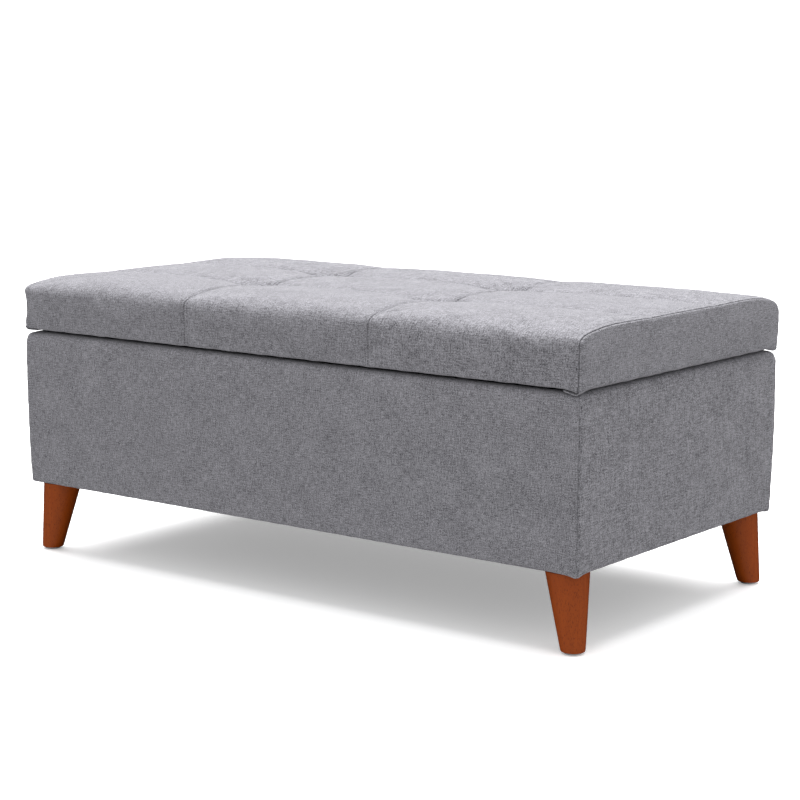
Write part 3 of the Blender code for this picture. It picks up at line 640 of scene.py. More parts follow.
levels = np.concatenate(
    [[LINING_FLOOR, LINING_FLOOR + 0.003], np.linspace(LINING_FLOOR + 0.012, LINING_TOP - 0.014, 17)],
)
steps_in = [0.0] * len(levels)
levels = np.concatenate([levels, [LINING_TOP - 0.0102, LINING_TOP - 0.0098, LINING_TOP - 0.001, LINING_TOP]])
steps_in += [0.0, 0.0004, 0.0004, 0.0001]
plan = lining_plan(LINING_IN)
facing = plan / np.array([BASE_X, BASE_Y])
facing = np.where(np.abs(facing) > np.abs(facing).max(1)[:, None] - 1e-6, np.sign(facing), 0)
run = np.concatenate([[0], np.cumsum(np.linalg.norm(np.diff(plan, axis=0), axis=1))])
# The lining stands a little off the walls, but lies tight behind the stays' wall plates.
LINING_SLACK = 0.0011
plate_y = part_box("stay_wall_plate_right")[0].y
plate = np.exp(-(((plan[:, 1] - plate_y) / 0.05) ** 4)) * (np.abs(plan[:, 0]) > 0.45)
rings = []
for level, step_in in zip(levels, steps_in):
    share = min(max((level - LINING_FLOOR) / (LINING_TOP - LINING_FLOOR), 0), 1)
    loose = LINING_SLACK * (1 + ripple(run + 0.3 * level, 0.23, 51)) * math.sin(math.pi * share) ** 0.8
    ring = plan - facing * (loose * (1 - plate) + step_in)[:, None]
    rings.append(np.concatenate([ring, np.full((len(plan), 1), level)], 1))
wall_rings = np.array(rings)
wall_faces = [f[::-1] for f in grid_faces(len(levels), len(plan), True)]
floor_x = np.linspace(-BASE_X + LINING_IN, BASE_X - LINING_IN, 96)
floor_y = np.linspace(-BASE_Y + LINING_IN, BASE_Y - LINING_IN, 46)
fx, fy = np.meshgrid(floor_x, floor_y)
over = np.maximum(np.abs(fx) + np.abs(fy) - (BASE_X + BASE_Y - 2 * LINING_IN - POST_CUT), 0) / 2
fx, fy = fx - np.sign(fx) * over, fy - np.sign(fy) * over
off_x = np.clip((BASE_X - LINING_IN - np.abs(fx)) / 0.03, 0, 1)
off_y = np.clip((BASE_Y - LINING_IN - np.abs(fy)) / 0.03, 0, 1)
lie_flat = off_x * off_y
fz = LINING_FLOOR + 0.0006 * (1 + ripple(fx + 0.5 * fy, 0.31, 52)) * lie_flat
floor_points = np.stack([fx, fy, fz], 2).reshape(-1, 3)
shift = len(wall_rings.reshape(-1, 3))
floor_faces = [[shift + k for k in f] for f in grid_faces(len(floor_y), len(floor_x))]
lining = mesh_object(
    "storage_lining", np.concatenate([wall_rings.reshape(-1, 3), floor_points]),
    wall_faces + floor_faces, lining_black,
)
body = lining.modifiers.new("thickness", "SOLIDIFY")
body.thickness = 0.0005
body.offset = -1
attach(lining, "base")
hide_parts("storage_liner")
places, staple_step = [], 0.055
for side, (out, along) in SIDES.items():
    half = (BASE_X if side in ("front", "back") else BASE_Y) - staple_step
    across = (BASE_Y if side in ("front", "back") else BASE_X) - LINING_IN - 0.0004
    for t in np.linspace(-half, half, max(2, round(2 * half / staple_step))):
        middle = (out[0] * across + along[0] * t, out[1] * across + along[1] * t, LINING_TOP - 0.005)
        places.append((middle, (*along, 0), (-out[0], -out[1], 0)))
staples("lining_staples", places, "base")


def stretched_cloth(name, half_x, half_y, level, sag, holes, seed):
    """A level cloth pulled tight between its stapled edges, with a hole over each bolt."""
    step, pull_step, hole_radius = 0.009, 0.032, 0.012
    xs = np.linspace(-half_x, half_x, round(half_x * 2 / step))
    ys = np.linspace(-half_y, half_y, round(half_y * 2 / step))
    px, py = np.meshgrid(xs, ys)
    edge = np.minimum(half_x - np.abs(px), half_y - np.abs(py))
    pz = level - sag * (1 - np.exp(-np.clip(edge - 0.05, 0, 1) / 0.08))
    pz = pz - 0.2 * sag * ripple(px + py, 0.21, seed) * np.clip((edge - 0.05) / 0.06, 0, 1)
    tug = 0.0009 * np.exp(-edge / 0.006)
    px = px - np.sign(px) * tug * (1 + np.cos(2 * np.pi * py / pull_step)) * (half_x - np.abs(px) < 0.02)
    py = py - np.sign(py) * tug * (1 + np.cos(2 * np.pi * px / pull_step)) * (half_y - np.abs(py) < 0.02)
    points = np.stack([px, py, pz], 2).reshape(-1, 3)
    faces = []
    for face in grid_faces(len(ys), len(xs)):
        middle = points[face].mean(0)
        if all(math.dist(middle[:2], hole) > hole_radius for hole in holes):
            faces.append(face[::-1])
    made = mesh_object(name, points, faces, lining_black)
    return made


def edge_staples(name, half_x, half_y, level, holes, body):
    """Staples just inside a stretched cloth's edges, except where the legs' tops stand."""
    edge, corner, step, leg_room = 0.006, 0.008, 0.032, 0.034
    places = []
    for side, (out, along) in SIDES.items():
        half, across = (half_x, half_y) if side in ("front", "back") else (half_y, half_x)
        across = across - edge
        for t in np.linspace(-half + corner, half - corner, round(2 * half / step)):
            middle = (out[0] * across + along[0] * t, out[1] * across + along[1] * t)
            if all(math.dist(middle, hole) > leg_room for hole in holes):
                places.append(((*middle, level), (*along, 0), (0, 0, -1)))
    return staples(name, places, body)


bolts = [(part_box(n)[0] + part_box(n)[1]) / 2 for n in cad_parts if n.startswith("hanger_bolt")]
bolt_holes = [tuple(b[:2]) for b in bolts]
dust_x, dust_y, dust_level = BASE_X - 0.0125, BASE_Y - 0.0125, BASE_LOW - 0.0001
dust_cover = stretched_cloth("under_dust_cover", dust_x, dust_y, dust_level, 0.0022, bolt_holes, 53)
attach(dust_cover, "base")
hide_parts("dust_cover")
edge_staples("dust_cover_staples", dust_x, dust_y, dust_level, bolt_holes, "base")


# Legs
# Round tapered legs of turned beech, stained red-brown and lacquered, leaning outwards at each
# corner. A hanger bolt in the top of each screws into a tee nut in the floor, and a grey nylon
# glide is nailed under the foot.
def swept_rings(name, rings, material, closed=False, caps=True, smooth=True):
    """A mesh through level rings of points, closed at both ends or joined end to end."""
    rings = np.array(rings)
    count, sides = rings.shape[:2]
    faces = grid_faces(count, sides, True)
    if closed:
        last = (count - 1) * sides
        faces += [[last + j, last + (j + 1) % sides, (j + 1) % sides, j] for j in range(sides)]
    elif caps:
        faces.append(list(range(sides))[::-1])
        faces.append([(count - 1) * sides + j for j in range(sides)])
    return mesh_object(name, rings.reshape(-1, 3), faces, material, smooth)


def level_ring(x, y, z, radius, sides):
    """A level circle of points."""
    return [
        (x + radius * math.cos(2 * math.pi * j / sides), y + radius * math.sin(2 * math.pi * j / sides), z)
        for j in range(sides)
    ]


beech, tree = blank_material("beech_stained_lacquered")
grain = node(tree, "ShaderNodeTexNoise", {
    "Vector": object_point(tree, (210, 210, 14)), "Scale": 1.0, "Detail": 5.0, "Distortion": 0.8,
})
# Beech has short dark flecks, 2 to 3 mm long and a third of a millimetre wide; drawn at 0.8 mm.
fleck = node(
    tree, "ShaderNodeTexNoise",
    {"Vector": object_point(tree, (1250, 1250, 260)), "Scale": 1.0, "Detail": 1.0},
)
flecks = node(tree, "ShaderNodeMapRange", {0: fleck.outputs[0], 1: 0.60, 2: 0.72})
cloudy = node(
    tree, "ShaderNodeTexNoise", {"Vector": object_point(tree, (40, 40, 18)), "Scale": 1.0, "Detail": 2.0},
)
light_stain = node(
    tree, "ShaderNodeMix", {0: grain.outputs[0], 6: srgb("#AE510C"), 7: srgb("#803405")}, data_type="RGBA",
)
stain = node(
    tree, "ShaderNodeMix", {0: cloudy.outputs[0], 6: light_stain.outputs[2], 7: srgb("#973F05")},
    data_type="RGBA",
)
colour = node(
    tree, "ShaderNodeMix", {0: flecks.outputs[0], 6: stain.outputs[2], 7: srgb("#662A06")}, data_type="RGBA",
)
relief = node(tree, "ShaderNodeBump", {"Height": grain.outputs[0], "Strength": 0.12, "Distance": 0.0003})
shade(tree, {
    "Base Color": colour.outputs[2], "Roughness": 0.5, "IOR": 1.5, "Specular IOR Level": 0.2,
    "Coat Weight": 0.3, "Coat Roughness": 0.2, "Normal": relief.outputs[0],
})

nylon, tree = blank_material("nylon_moulded_grey")
mould = node(
    tree, "ShaderNodeTexNoise", {"Vector": object_point(tree, (700, 700, 700)), "Scale": 1.0, "Detail": 2.0},
)
tone = node(
    tree, "ShaderNodeMix", {0: mould.outputs[0], 6: srgb("#A7A7A8"), 7: srgb("#BDBDBC")}, data_type="RGBA",
)
relief = node(tree, "ShaderNodeBump", {"Height": mould.outputs[0], "Strength": 0.15, "Distance": 0.0002})
shade(tree, {"Base Color": tone.outputs[2], "Roughness": 0.45, "IOR": 1.53, "Normal": relief.outputs[0]})

FOOT_RADIUS = 0.0172
TOP_RADIUS = 0.0310
NAIL_HOLE = 0.0015
BOLT_CLEARANCE = 0.0003
LEG_SIDES = 56
THREAD_PITCH = 0.00125
THREAD_DEPTH = 0.0007
THREAD_SIDES = 20
GLIDE_SIDES = 40
for corner in ("front_left", "front_right", "rear_right", "rear_left"):
    low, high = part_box(f"leg_{corner}")
    bolt_low, bolt_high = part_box(f"hanger_bolt_{corner}")
    glide_low, glide_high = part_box(f"foot_glide_{corner}")
    top = (bolt_low + bolt_high) / 2
    foot = (glide_low + glide_high) / 2
    bore = (bolt_high.x - bolt_low.x) / 2 + BOLT_CLEARANCE
    shape = [
        (glide_high.z + 0.0002, NAIL_HOLE), (low.z, NAIL_HOLE), (low.z, FOOT_RADIUS - 0.0017),
        (low.z + 0.0003, FOOT_RADIUS - 0.0009), (low.z + 0.0009, FOOT_RADIUS - 0.0003),
        (low.z + 0.0017, FOOT_RADIUS),
    ]
    for share in np.linspace(0.06, 0.985, 15):
        shape.append((low.z + (high.z - low.z) * share, FOOT_RADIUS + (TOP_RADIUS - FOOT_RADIUS) * share))
    shape += [(high.z - 0.0006, TOP_RADIUS - 0.0001), (high.z, TOP_RADIUS - 0.0008)]
    shape += [(high.z, bore), (bolt_low.z, bore)]
    rings = []
    for z, radius in shape:
        lean = (z - low.z) / (high.z - low.z)
        if radius == NAIL_HOLE:
            lean = 0
        if radius == bore:
            lean = 1
        x, y = foot.x + (top.x - foot.x) * lean, foot.y + (top.y - foot.y) * lean
        rings.append(level_ring(x, y, z, radius, LEG_SIDES))
    leg = swept_rings(f"turned_leg_{corner}", rings, beech)
    edges = leg.modifiers.new("edges", "EDGE_SPLIT")
    edges.split_angle = math.radians(50)
    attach(leg, "base")
    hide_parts(f"leg_{corner}")

    radius, rings = bore - BOLT_CLEARANCE, []
    for z in np.arange(bolt_low.z, bolt_high.z, THREAD_PITCH / 6):
        ring = []
        taper = min(1, (z - bolt_low.z) / 0.003 + 0.35, (bolt_high.z - z) / 0.001 + 0.6)
        for j in range(THREAD_SIDES):
            wave = ((z - bolt_low.z) / THREAD_PITCH - j / THREAD_SIDES) % 1
            r = (radius - THREAD_DEPTH * abs(2 * wave - 1)) * taper
            turn = 2 * math.pi * j / THREAD_SIDES
            ring.append((top.x + r * math.cos(turn), top.y + r * math.sin(turn), z))
        rings.append(ring)
    bolt = swept_rings(f"threaded_bolt_{corner}", rings, zinc)
    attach(bolt, "base")
    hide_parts(f"hanger_bolt_{corner}")

    shape = [
        (0, 0.0095), (0.0001, 0.0108), (0.0005, 0.0118), (0.0011, 0.0124), (0.0019, 0.0125),
        (0.0027, 0.0124),
    ]
    shape += [(0.003, 0.0120), (0.003, 0.0012), (glide_high.z - 0.001, 0.0012), (glide_high.z, 0.0003)]
    rings = [level_ring(foot.x, foot.y, z, r, GLIDE_SIDES) for z, r in shape]
    glide = swept_rings(f"nylon_glide_{corner}", rings, nylon)
    edges = glide.modifiers.new("edges", "EDGE_SPLIT")
    edges.split_angle = math.radians(50)
    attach(glide, "base")
    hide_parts(f"foot_glide_{corner}")
dress([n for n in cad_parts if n.startswith("tee_nut")], zinc)


# Lid cushion
# A foam block on a plywood board, under a cover sewn from nine patches and two end panels. Twine
# through the foam pulls the cover down where the seams cross, and the cover is turned under the
# board and stapled. The seams that run front to back are topstitched on both sides.
LID_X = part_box("lid_end_boxing_right")[1].x
LID_Y = -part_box("lid_end_boxing_right")[0].y
LID_LOW, LID_TOP = (corner.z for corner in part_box("lid_end_boxing_right"))
SEAM_X = (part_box("seat_patch_middle_centre")[1].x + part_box("seat_patch_middle_right")[0].x) / 2
SEAM_Y = (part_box("seat_patch_middle_centre")[1].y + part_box("seat_patch_rear_centre")[0].y) / 2
COVER_LOW = LID_LOW + 0.0004
FRONT_EDGE = (0.030, 0.0135)
REAR_EDGE = (0.032, 0.022)
CROWN_RADIUS = 0.450
CROWN_TURN = 10
LID_UNDER_RADIUS = 0.006
LID_RETURN = 0.025
END_RADIUS = 0.005
DROOP = 0.0056
CORNER_TUCK = 0.0026
CORNER_WEAR = 0.0034
TUFT_DEPTH = 0.0220


def settle_cloth(points, faces, held, pressure, most, frames=14):
    """Lets the cushion's cover fill out under pressure where it isn't held, by at most so far."""
    trial = mesh_object("cloth_trial", points, faces, floor_paint)
    group = trial.vertex_groups.new(name="held")
    for i, weight in enumerate(held):
        if weight > 0:
            group.add([i], float(weight), "REPLACE")
    cloth = trial.modifiers.new("cloth", "CLOTH").settings
    cloth.vertex_group_mass = "held"
    cloth.quality = 5
    cloth.mass = 0.3
    cloth.tension_stiffness = cloth.compression_stiffness = 20
    cloth.shear_stiffness = 8
    cloth.bending_stiffness = 1.5
    cloth.shrink_min = -0.006
    cloth.use_pressure = True
    cloth.uniform_pressure_force = pressure
    cloth.effector_weights.gravity = 0
    for count in range(frames + 1):
        bpy.context.scene.frame_set(count)
    done = trial.evaluated_get(bpy.context.evaluated_depsgraph_get())
    moved = np.zeros(len(points) * 3)
    done.data.vertices.foreach_get("co", moved)
    shift = moved.reshape(-1, 3) - points
    bpy.data.objects.remove(trial)
    bpy.context.scene.frame_set(1)
    far = np.linalg.norm(shift, axis=1)[:, None]
    return points + shift * most * np.tanh(far / most) / np.maximum(far, 1e-9)


def half_section(edge_wide, edge_high):
    """The lid's outside from under the board, up one face and over its shoulder to the middle."""
    crown_turn = math.radians(CROWN_TURN)
    edge_turn = math.atan(math.tan(crown_turn) * edge_wide / edge_high)
    edge_y = -LID_Y + edge_wide
    edge_z = LID_TOP - CROWN_RADIUS * (1 - math.cos(crown_turn)) - edge_high * math.cos(edge_turn)
    slow_y = edge_y - edge_wide * math.sin(edge_turn) + CROWN_RADIUS * math.sin(crown_turn)
    under_edge = (-LID_Y + LID_UNDER_RADIUS, COVER_LOW + LID_UNDER_RADIUS)
    path = [(-LID_Y + LID_RETURN, COVER_LOW)] + arc(under_edge, LID_UNDER_RADIUS, 270, 180, 5)
    for turn in np.linspace(math.pi, math.pi / 2 + edge_turn, 15):
        path.append((edge_y + edge_wide * math.cos(turn), edge_z + edge_high * math.sin(turn)))
    return path + arc((slow_y, LID_TOP - CROWN_RADIUS), CROWN_RADIUS, 90 + CROWN_TURN, 90, 8)[1:]


front_half, rear_half = half_section(*FRONT_EDGE), half_section(*REAR_EDGE)
lid_path = front_half + [(-y, z) for y, z in rear_half[::-1]]
_, _, lid_length = along_path(lid_path, np.array([0.0]))
front_steps = np.linalg.norm(np.diff(np.array(front_half + [(0.0, LID_TOP)]), axis=0), axis=1)
cushion_middle = float(front_steps.sum())
cross_seams = (cushion_middle - SEAM_Y, cushion_middle + SEAM_Y)
seam_steps = (0.0004, 0.0009, 0.0015, 0.0023, 0.0034, 0.005, 0.0075)
lid_stops = stops_between(0, lid_length, 0.0070, cross_seams, seam_steps)
under_steps = np.linspace(0.016, 0.032, 8)
lid_stops = np.unique(np.concatenate([lid_stops, under_steps, lid_length - under_steps]))
lid_line, lid_out, _ = along_path(lid_path, lid_stops)

# Across the bench: flat to the ends' rounding, then an eighth of a turn down to the end seam.
flat_x = LID_X - END_RADIUS
lid_across = stops_between(-flat_x, flat_x, 0.0075, (-SEAM_X, SEAM_X), seam_steps)
end_turns = np.radians(np.array([9, 18, 26, 33, 38, 42, 45]))
end_x = flat_x + END_RADIUS * np.sin(end_turns)
lid_across = np.concatenate([-end_x[::-1], lid_across, end_x])


def lid_relief(across, along, height, top_share):
    """How far the cushion's cover stands off its plain section, before it fills out."""
    y = along - cushion_middle
    face = np.clip((height - COVER_LOW - LID_UNDER_RADIUS) / 0.03, 0, 1)
    front_run = np.clip((along - 0.028) / (cross_seams[0] - 0.028), 0, 1)
    rear_run = np.clip((lid_length - 0.028 - along) / (lid_length - cross_seams[1] - 0.028), 0, 1)
    middle_run = np.clip((along - cross_seams[0]) / (2 * SEAM_Y), 0, 1)
    rows = 0.0022 * np.sin(np.pi * front_run) ** 0.7 + 0.0018 * np.sin(np.pi * rear_run) ** 0.7
    rows = rows + 0.0008 * np.sin(np.pi * middle_run) ** 0.7
    side_run = np.clip((np.abs(across) - SEAM_X) / (LID_X - SEAM_X), 0, 1)
    centre_run = np.clip((across + SEAM_X) / (2 * SEAM_X), 0, 1)
    columns = 0.0021 * (np.sin(np.pi * side_run) ** 0.6 + np.sin(np.pi * centre_run) ** 0.6)
    to_x, to_y = np.abs(across) - SEAM_X, np.abs(y) - SEAM_Y
    thin_x, thin_y = np.exp(-((to_x / 0.0013) ** 2)), np.exp(-((to_y / 0.0013) ** 2))
    wide_x, wide_y = np.exp(-np.abs(to_x / 0.012) ** 1.5), np.exp(-np.abs(to_y / 0.012) ** 1.5)
    seams = 0.0012 * np.maximum(thin_x, thin_y) + 0.0006 * wide_x + 0.0006 * wide_y
    away = np.sqrt((to_x / 0.034) ** 2 + (to_y / 0.017) ** 2)
    tufts = TUFT_DEPTH * np.exp(-(away ** 1.25))
    tufts = tufts + 0.0046 * np.exp(-np.abs(to_y / 0.007) ** 1.2 - np.abs(to_x / 0.055) ** 1.8)
    tufts = tufts + 0.0030 * np.exp(-np.abs(to_x / 0.008) ** 1.3 - np.abs(to_y / 0.042) ** 1.8)
    fall = 0.0045 * np.exp(-((LID_X + across) / 0.045) ** 1.5)
    return face * (rows + columns - seams) - top_share * (tufts + fall)


across = lid_across[None, :] + 0 * lid_stops[:, None]
along = lid_stops[:, None] + 0 * across
turned = np.clip((np.abs(across) - flat_x) / END_RADIUS, 0, 1)
end_drop = END_RADIUS * (1 - np.sqrt(1 - turned ** 2))
height = lid_line[:, 1][:, None] + 0 * across
top_share = np.clip(lid_out[:, 1][:, None], 0, 1) ** 2 + 0 * across
from_end = LID_X - np.abs(across)
near_end = 1 - np.exp(-from_end / 0.020)
off = lid_relief(across, along, height, top_share) * (0.45 + 0.55 * near_end) - end_drop
sunk = 0.0024 * np.exp(-((from_end - from_end.min()) / 0.0009) ** 2)
off = off - sunk
low_edge = np.exp(-np.abs(height - COVER_LOW) / 0.014)
off = off + 0.0006 * low_edge * ripple(across, 0.055, 31)
off = off + 0.0005 * ripple(across + 0.7 * along, 0.16, 32) * near_end * top_share
off = off + 0.0005 * np.exp(-from_end / 0.016) * ripple(along, 0.031, 33)
y = lid_line[:, 0][:, None] + lid_out[:, 0][:, None] * off
z = height + lid_out[:, 1][:, None] * off
from_corner = np.hypot(from_end, LID_Y - np.abs(lid_line[:, 0][:, None]))
sags = np.where(across > 0, DROOP, 0.0)
z = z - sags * np.exp(-((from_corner / 0.014) ** 2)) * np.exp(-(((height - COVER_LOW) / 0.022) ** 2))
tuck = CORNER_TUCK * np.exp(-((height - COVER_LOW) / 0.013)) * np.exp(-((from_end / 0.02) ** 2))
from_face = LID_Y - np.abs(lid_line[:, 0][:, None])
below = np.clip((LID_TOP - 0.012 - height) / 0.02, 0, 1)
below = below * (0.2 + 0.8 * np.clip((height - LID_LOW - 0.013) / 0.012, 0, 1))
worn = CORNER_WEAR * np.exp(-((from_end / 0.018) ** 2) - (from_face / 0.018) ** 2) * (across < 0) * below
x = across - np.sign(across) * (sunk + tuck + worn)
points = np.stack([x, y - np.sign(lid_line[:, 0][:, None]) * worn * 0.8, z], 2)
free = (height > COVER_LOW + 0.004) & (np.abs(across) < flat_x - 0.002)
free &= np.abs(np.abs(across) - SEAM_X) > 0.0021
free &= (np.abs(np.abs(along - cushion_middle) - SEAM_Y) > 0.0021)
pulled = np.hypot((np.abs(across) - SEAM_X) / 0.040, (np.abs(along - cushion_middle) - SEAM_Y) / 0.030)
held = np.where(free, 0.8 * np.exp(-(pulled ** 2)), 1.0)
rows, columns = points.shape[:2]
cushion_faces = grid_faces(rows, columns)
settled = settle_cloth(points.reshape(-1, 3), cushion_faces, held.ravel(), 1.6, 0.0022)
lid_skin = settled.reshape(rows, columns, 3)
patch = np.digitize(across, (-SEAM_X, SEAM_X)) * 3 + np.digitize(along, cross_seams)
thread = np.stack([across, along, 5.3 * patch + 20.0], 2)
cushion = cloth_piece(
    "seat_cushion_cover", lid_skin.reshape(-1, 3), cushion_faces, thread.reshape(-1, 3), cover_grey, CLOTH,
)
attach(cushion, "lid")
patches = [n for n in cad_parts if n.startswith("seat_patch_")]
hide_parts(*patches)

# End panels: from the end seam's eighth of a turn out to the face, down it, and under the board.
under_turns = np.radians(np.linspace(0, 90, 6))
for name, side, seed in (("left", -1, 41), ("right", 1, 43)):
    seam = lid_skin[:, 0 if side < 0 else -1]
    keep = (lid_line[:, 1] > COVER_LOW + 0.0001) | (np.abs(lid_line[:, 0]) > LID_Y - LID_UNDER_RADIUS)
    seam, line, out = seam[keep], lid_line[keep], lid_out[keep]
    upward = np.clip(out[:, 1], 0, 1) ** 2
    edge_relief = lid_relief(np.full(len(line), side * flat_x), lid_stops[keep], line[:, 1], upward) * 0.45
    run = np.concatenate([[0], np.cumsum(np.linalg.norm(np.diff(line, axis=0), axis=1))])
    foot_y = -LID_Y + 0.0008 + (2 * LID_Y - 0.0016) * run / run[-1]
    foot_z = COVER_LOW + LID_UNDER_RADIUS
    rings = [seam]
    for turn in np.radians(np.linspace(54, 90, 5)):
        off = edge_relief - END_RADIUS * (1 - math.cos(turn))
        ring = line + out * off[:, None]
        x = np.full(len(line), side * (flat_x + END_RADIUS * math.sin(turn)))
        rings.append(np.stack([x, ring[:, 0], np.maximum(ring[:, 1], COVER_LOW)], 1))
    shoulder = rings[-1]
    for share in np.concatenate([[0.02, 0.05, 0.09, 0.14], np.linspace(0.2, 1, 13)]):
        ring = shoulder.copy()
        ring[:, 1] += (foot_y - shoulder[:, 1]) * share
        ring[:, 2] += (foot_z - shoulder[:, 2]) * share
        ring[:, 2] = np.minimum(ring[:, 2], shoulder[:, 2])
        rings.append(ring)
    for turn in under_turns[1:]:
        ring = rings[-1].copy()
        ring[:, 0] = side * (LID_X - LID_UNDER_RADIUS * (1 - math.cos(turn)))
        ring[:, 1] = foot_y
        ring[:, 2] = foot_z - LID_UNDER_RADIUS * math.sin(turn)
        rings.append(ring)
    for inward in (0.012, 0.018, LID_RETURN):
        ring = rings[-1].copy()
        ring[:, 0] = side * (LID_X - inward)
        rings.append(ring)
    panel = np.array(rings)
    y, z = panel[:, :, 1], panel[:, :, 2]
    away = np.full(y.shape, 1.0)
    for py, pz in line[::2]:
        away = np.minimum(away, np.hypot(y - py, z - pz))
    face = np.clip((z - COVER_LOW) / LID_UNDER_RADIUS, 0, 1)
    swell = (0.0006 if side < 0 else 0.0042) * (1 - np.exp(-((away / 0.020) ** 1.3))) * face
    lift = np.exp(-np.clip(z - COVER_LOW, 0, 1) / 0.018)
    creases = 0.0012 * lift * ripple(y, 0.062, seed) + 0.0005 * ripple(y + 0.5 * z, 0.11, seed + 1) * face
    creases = creases + 0.0006 * np.exp(-away / 0.012) * ripple(y, 0.028, seed + 2)
    sewn = np.clip(away / 0.006, 0, 1)
    above, from_side = np.clip(z - COVER_LOW, 0, 1), LID_Y - np.abs(y)
    tuck = CORNER_TUCK * np.exp(-(above / 0.013)) * np.exp(-((from_side / 0.03) ** 2))
    inward = LID_X - np.abs(panel[:, :, 0])
    from_corner = np.hypot(LID_Y - np.abs(y), np.clip(inward - 0.002, 0, 1))
    droop = (DROOP if side > 0 else 0) * np.exp(-((from_corner / 0.018) ** 2))
    droop = droop * np.exp(-((above / 0.022) ** 2))
    if side < 0:
        below = np.clip((LID_TOP - 0.012 - z) / 0.02, 0, 1)
        below = below * (0.2 + 0.8 * np.clip((z - LID_LOW - 0.013) / 0.012, 0, 1))
        worn = CORNER_WEAR * np.exp(-((from_side / 0.018) ** 2)) * below
        panel[1:, :, 0] += worn[1:]
        panel[1:, :, 1] -= (np.sign(y) * worn * 0.8)[1:]
    panel[1:, :, 0] += side * (swell + creases * sewn - tuck)[1:]
    panel[:, :, 2] += 0.0010 * lift * ripple(y, 0.075, seed + 3) * sewn * (z > COVER_LOW + 0.001)
    panel[1:, :, 2] -= droop[1:]
    if side > 0:
        panel = panel[:, ::-1]
    count = panel.shape[1]
    # The weave runs down the face, and inwards where the panel is turned under the board.
    beneath = (panel[:, :, 2] < foot_z) & (np.abs(panel[:, :, 0]) < LID_X - 0.001)
    down = panel[:, :, 2] - np.where(beneath, LID_X - np.abs(panel[:, :, 0]), 0)
    lie = np.stack([panel[:, :, 1], down, 0 * down + 70.0 + seed], 2)
    end = cloth_piece(
        f"end_boxing_{name}", panel.reshape(-1, 3), [f[::-1] for f in grid_faces(len(panel), count)],
        lie.reshape(-1, 3), cover_grey, CLOTH,
    )
    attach(end, "lid")
    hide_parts(f"lid_end_boxing_{name}")

# Topstitching: a row on each side of the two seams that run front to back, and one inside each end.
def cover_line(x, low_stop, high_stop):
    """Points and outward directions on the finished cover along one line across the bench."""
    k = int(np.clip(np.searchsorted(lid_across, x) - 1, 0, len(lid_across) - 2))
    share = (x - lid_across[k]) / (lid_across[k + 1] - lid_across[k])
    pick = (lid_stops > low_stop) & (lid_stops < high_stop)
    line = lid_skin[pick, k] * (1 - share) + lid_skin[pick, k + 1] * share
    facing = grid_normals(lid_skin)
    return line, (facing[pick, k] * (1 - share) + facing[pick, k + 1] * share)


face_start, face_end = 0.030, lid_length - 0.030
SEAM_MARGIN = 0.006
END_MARGIN = 0.0095
rows_of = {
    "left_seam_outer": -SEAM_X - SEAM_MARGIN, "left_seam_inner": -SEAM_X + SEAM_MARGIN,
    "left_end": -LID_X + END_MARGIN, "right_seam_inner": SEAM_X - SEAM_MARGIN,
    "right_seam_outer": SEAM_X + SEAM_MARGIN, "right_end": LID_X - END_MARGIN,
}
for name, x in rows_of.items():
    line, facing = cover_line(x, face_start, face_end)
    row = stitches(f"topstitching_{name}", line, facing, thread_grey)
    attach(row, "lid")


# Seam thread: dark lockstitch at the bottom of every seam of the cushion, which is also painted seam shadow.
seam_thread_and_shadow, tree = blank_material("charcoal_thread_painted_seam_shadow")
ply = node(tree, "ShaderNodeTexNoise", {"Vector": object_point(tree, (900, 900, 900)), "Scale": 1.0})
# The near-black tone is partly the thread's own and partly painted shadow of each seam's gap.
tone = node(
    tree, "ShaderNodeMix", {0: ply.outputs[0], 6: srgb("#232326"), 7: srgb("#3A3A3E")}, data_type="RGBA",
)
shade(tree, {"Base Color": tone.outputs[2], "Roughness": 0.7, "IOR": 1.5, "Sheen Weight": 0.1})
facing = grid_normals(lid_skin)
face_rows = np.flatnonzero((lid_stops > 0.024) & (lid_stops < lid_length - 0.024))
valleys = {}
for name, x in (("left", -SEAM_X), ("right", SEAM_X)):
    k = int(np.argmin(np.abs(lid_across - x)))
    valleys[name] = (lid_skin[face_rows, k], facing[face_rows, k], 0.00045)
for name, stop in (("front", cross_seams[0]), ("rear", cross_seams[1])):
    m = int(np.argmin(np.abs(lid_stops - stop)))
    valleys[name] = (lid_skin[m, 8:-8], facing[m, 8:-8], 0.00045)
for name, k, side in (("left_end", 0, -1), ("right_end", -1, 1)):
    outward = facing[face_rows, k] * 0 + np.array([side, 0, 0]) + facing[face_rows, k]
    valleys[name] = (lid_skin[face_rows, k], outward, 0.0007)
for name, (line, outward, thick) in valleys.items():
    row = stitches(f"seam_thread_and_shadow_{name}", line, outward, seam_thread_and_shadow, 0.0040, 0.0004, thick)
    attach(row, "lid")


# Foam, board cloth and tuft ties
# A block of upholstery foam glued to the board, shaped by the cover; black spun-bonded cloth
# stapled under the board over the cover's edges; and a waxed twine tie at each tuft, knotted over
# the cover and stapled off under the board.
foam_cream, tree = blank_material("upholstery_foam_cream")
cells = node(tree, "ShaderNodeTexVoronoi", {"Vector": object_point(tree, (1, 1, 1)), "Scale": 1 / 0.0016})
tone = node(
    tree, "ShaderNodeMix", {0: cells.outputs[0], 6: srgb("#E9DFB9"), 7: srgb("#F4EDD2")}, data_type="RGBA",
)
relief = node(tree, "ShaderNodeBump", {"Height": cells.outputs[0], "Strength": 0.5, "Distance": 0.0008})
shade(tree, {"Base Color": tone.outputs[2], "Roughness": 0.95, "Normal": relief.outputs[0]})

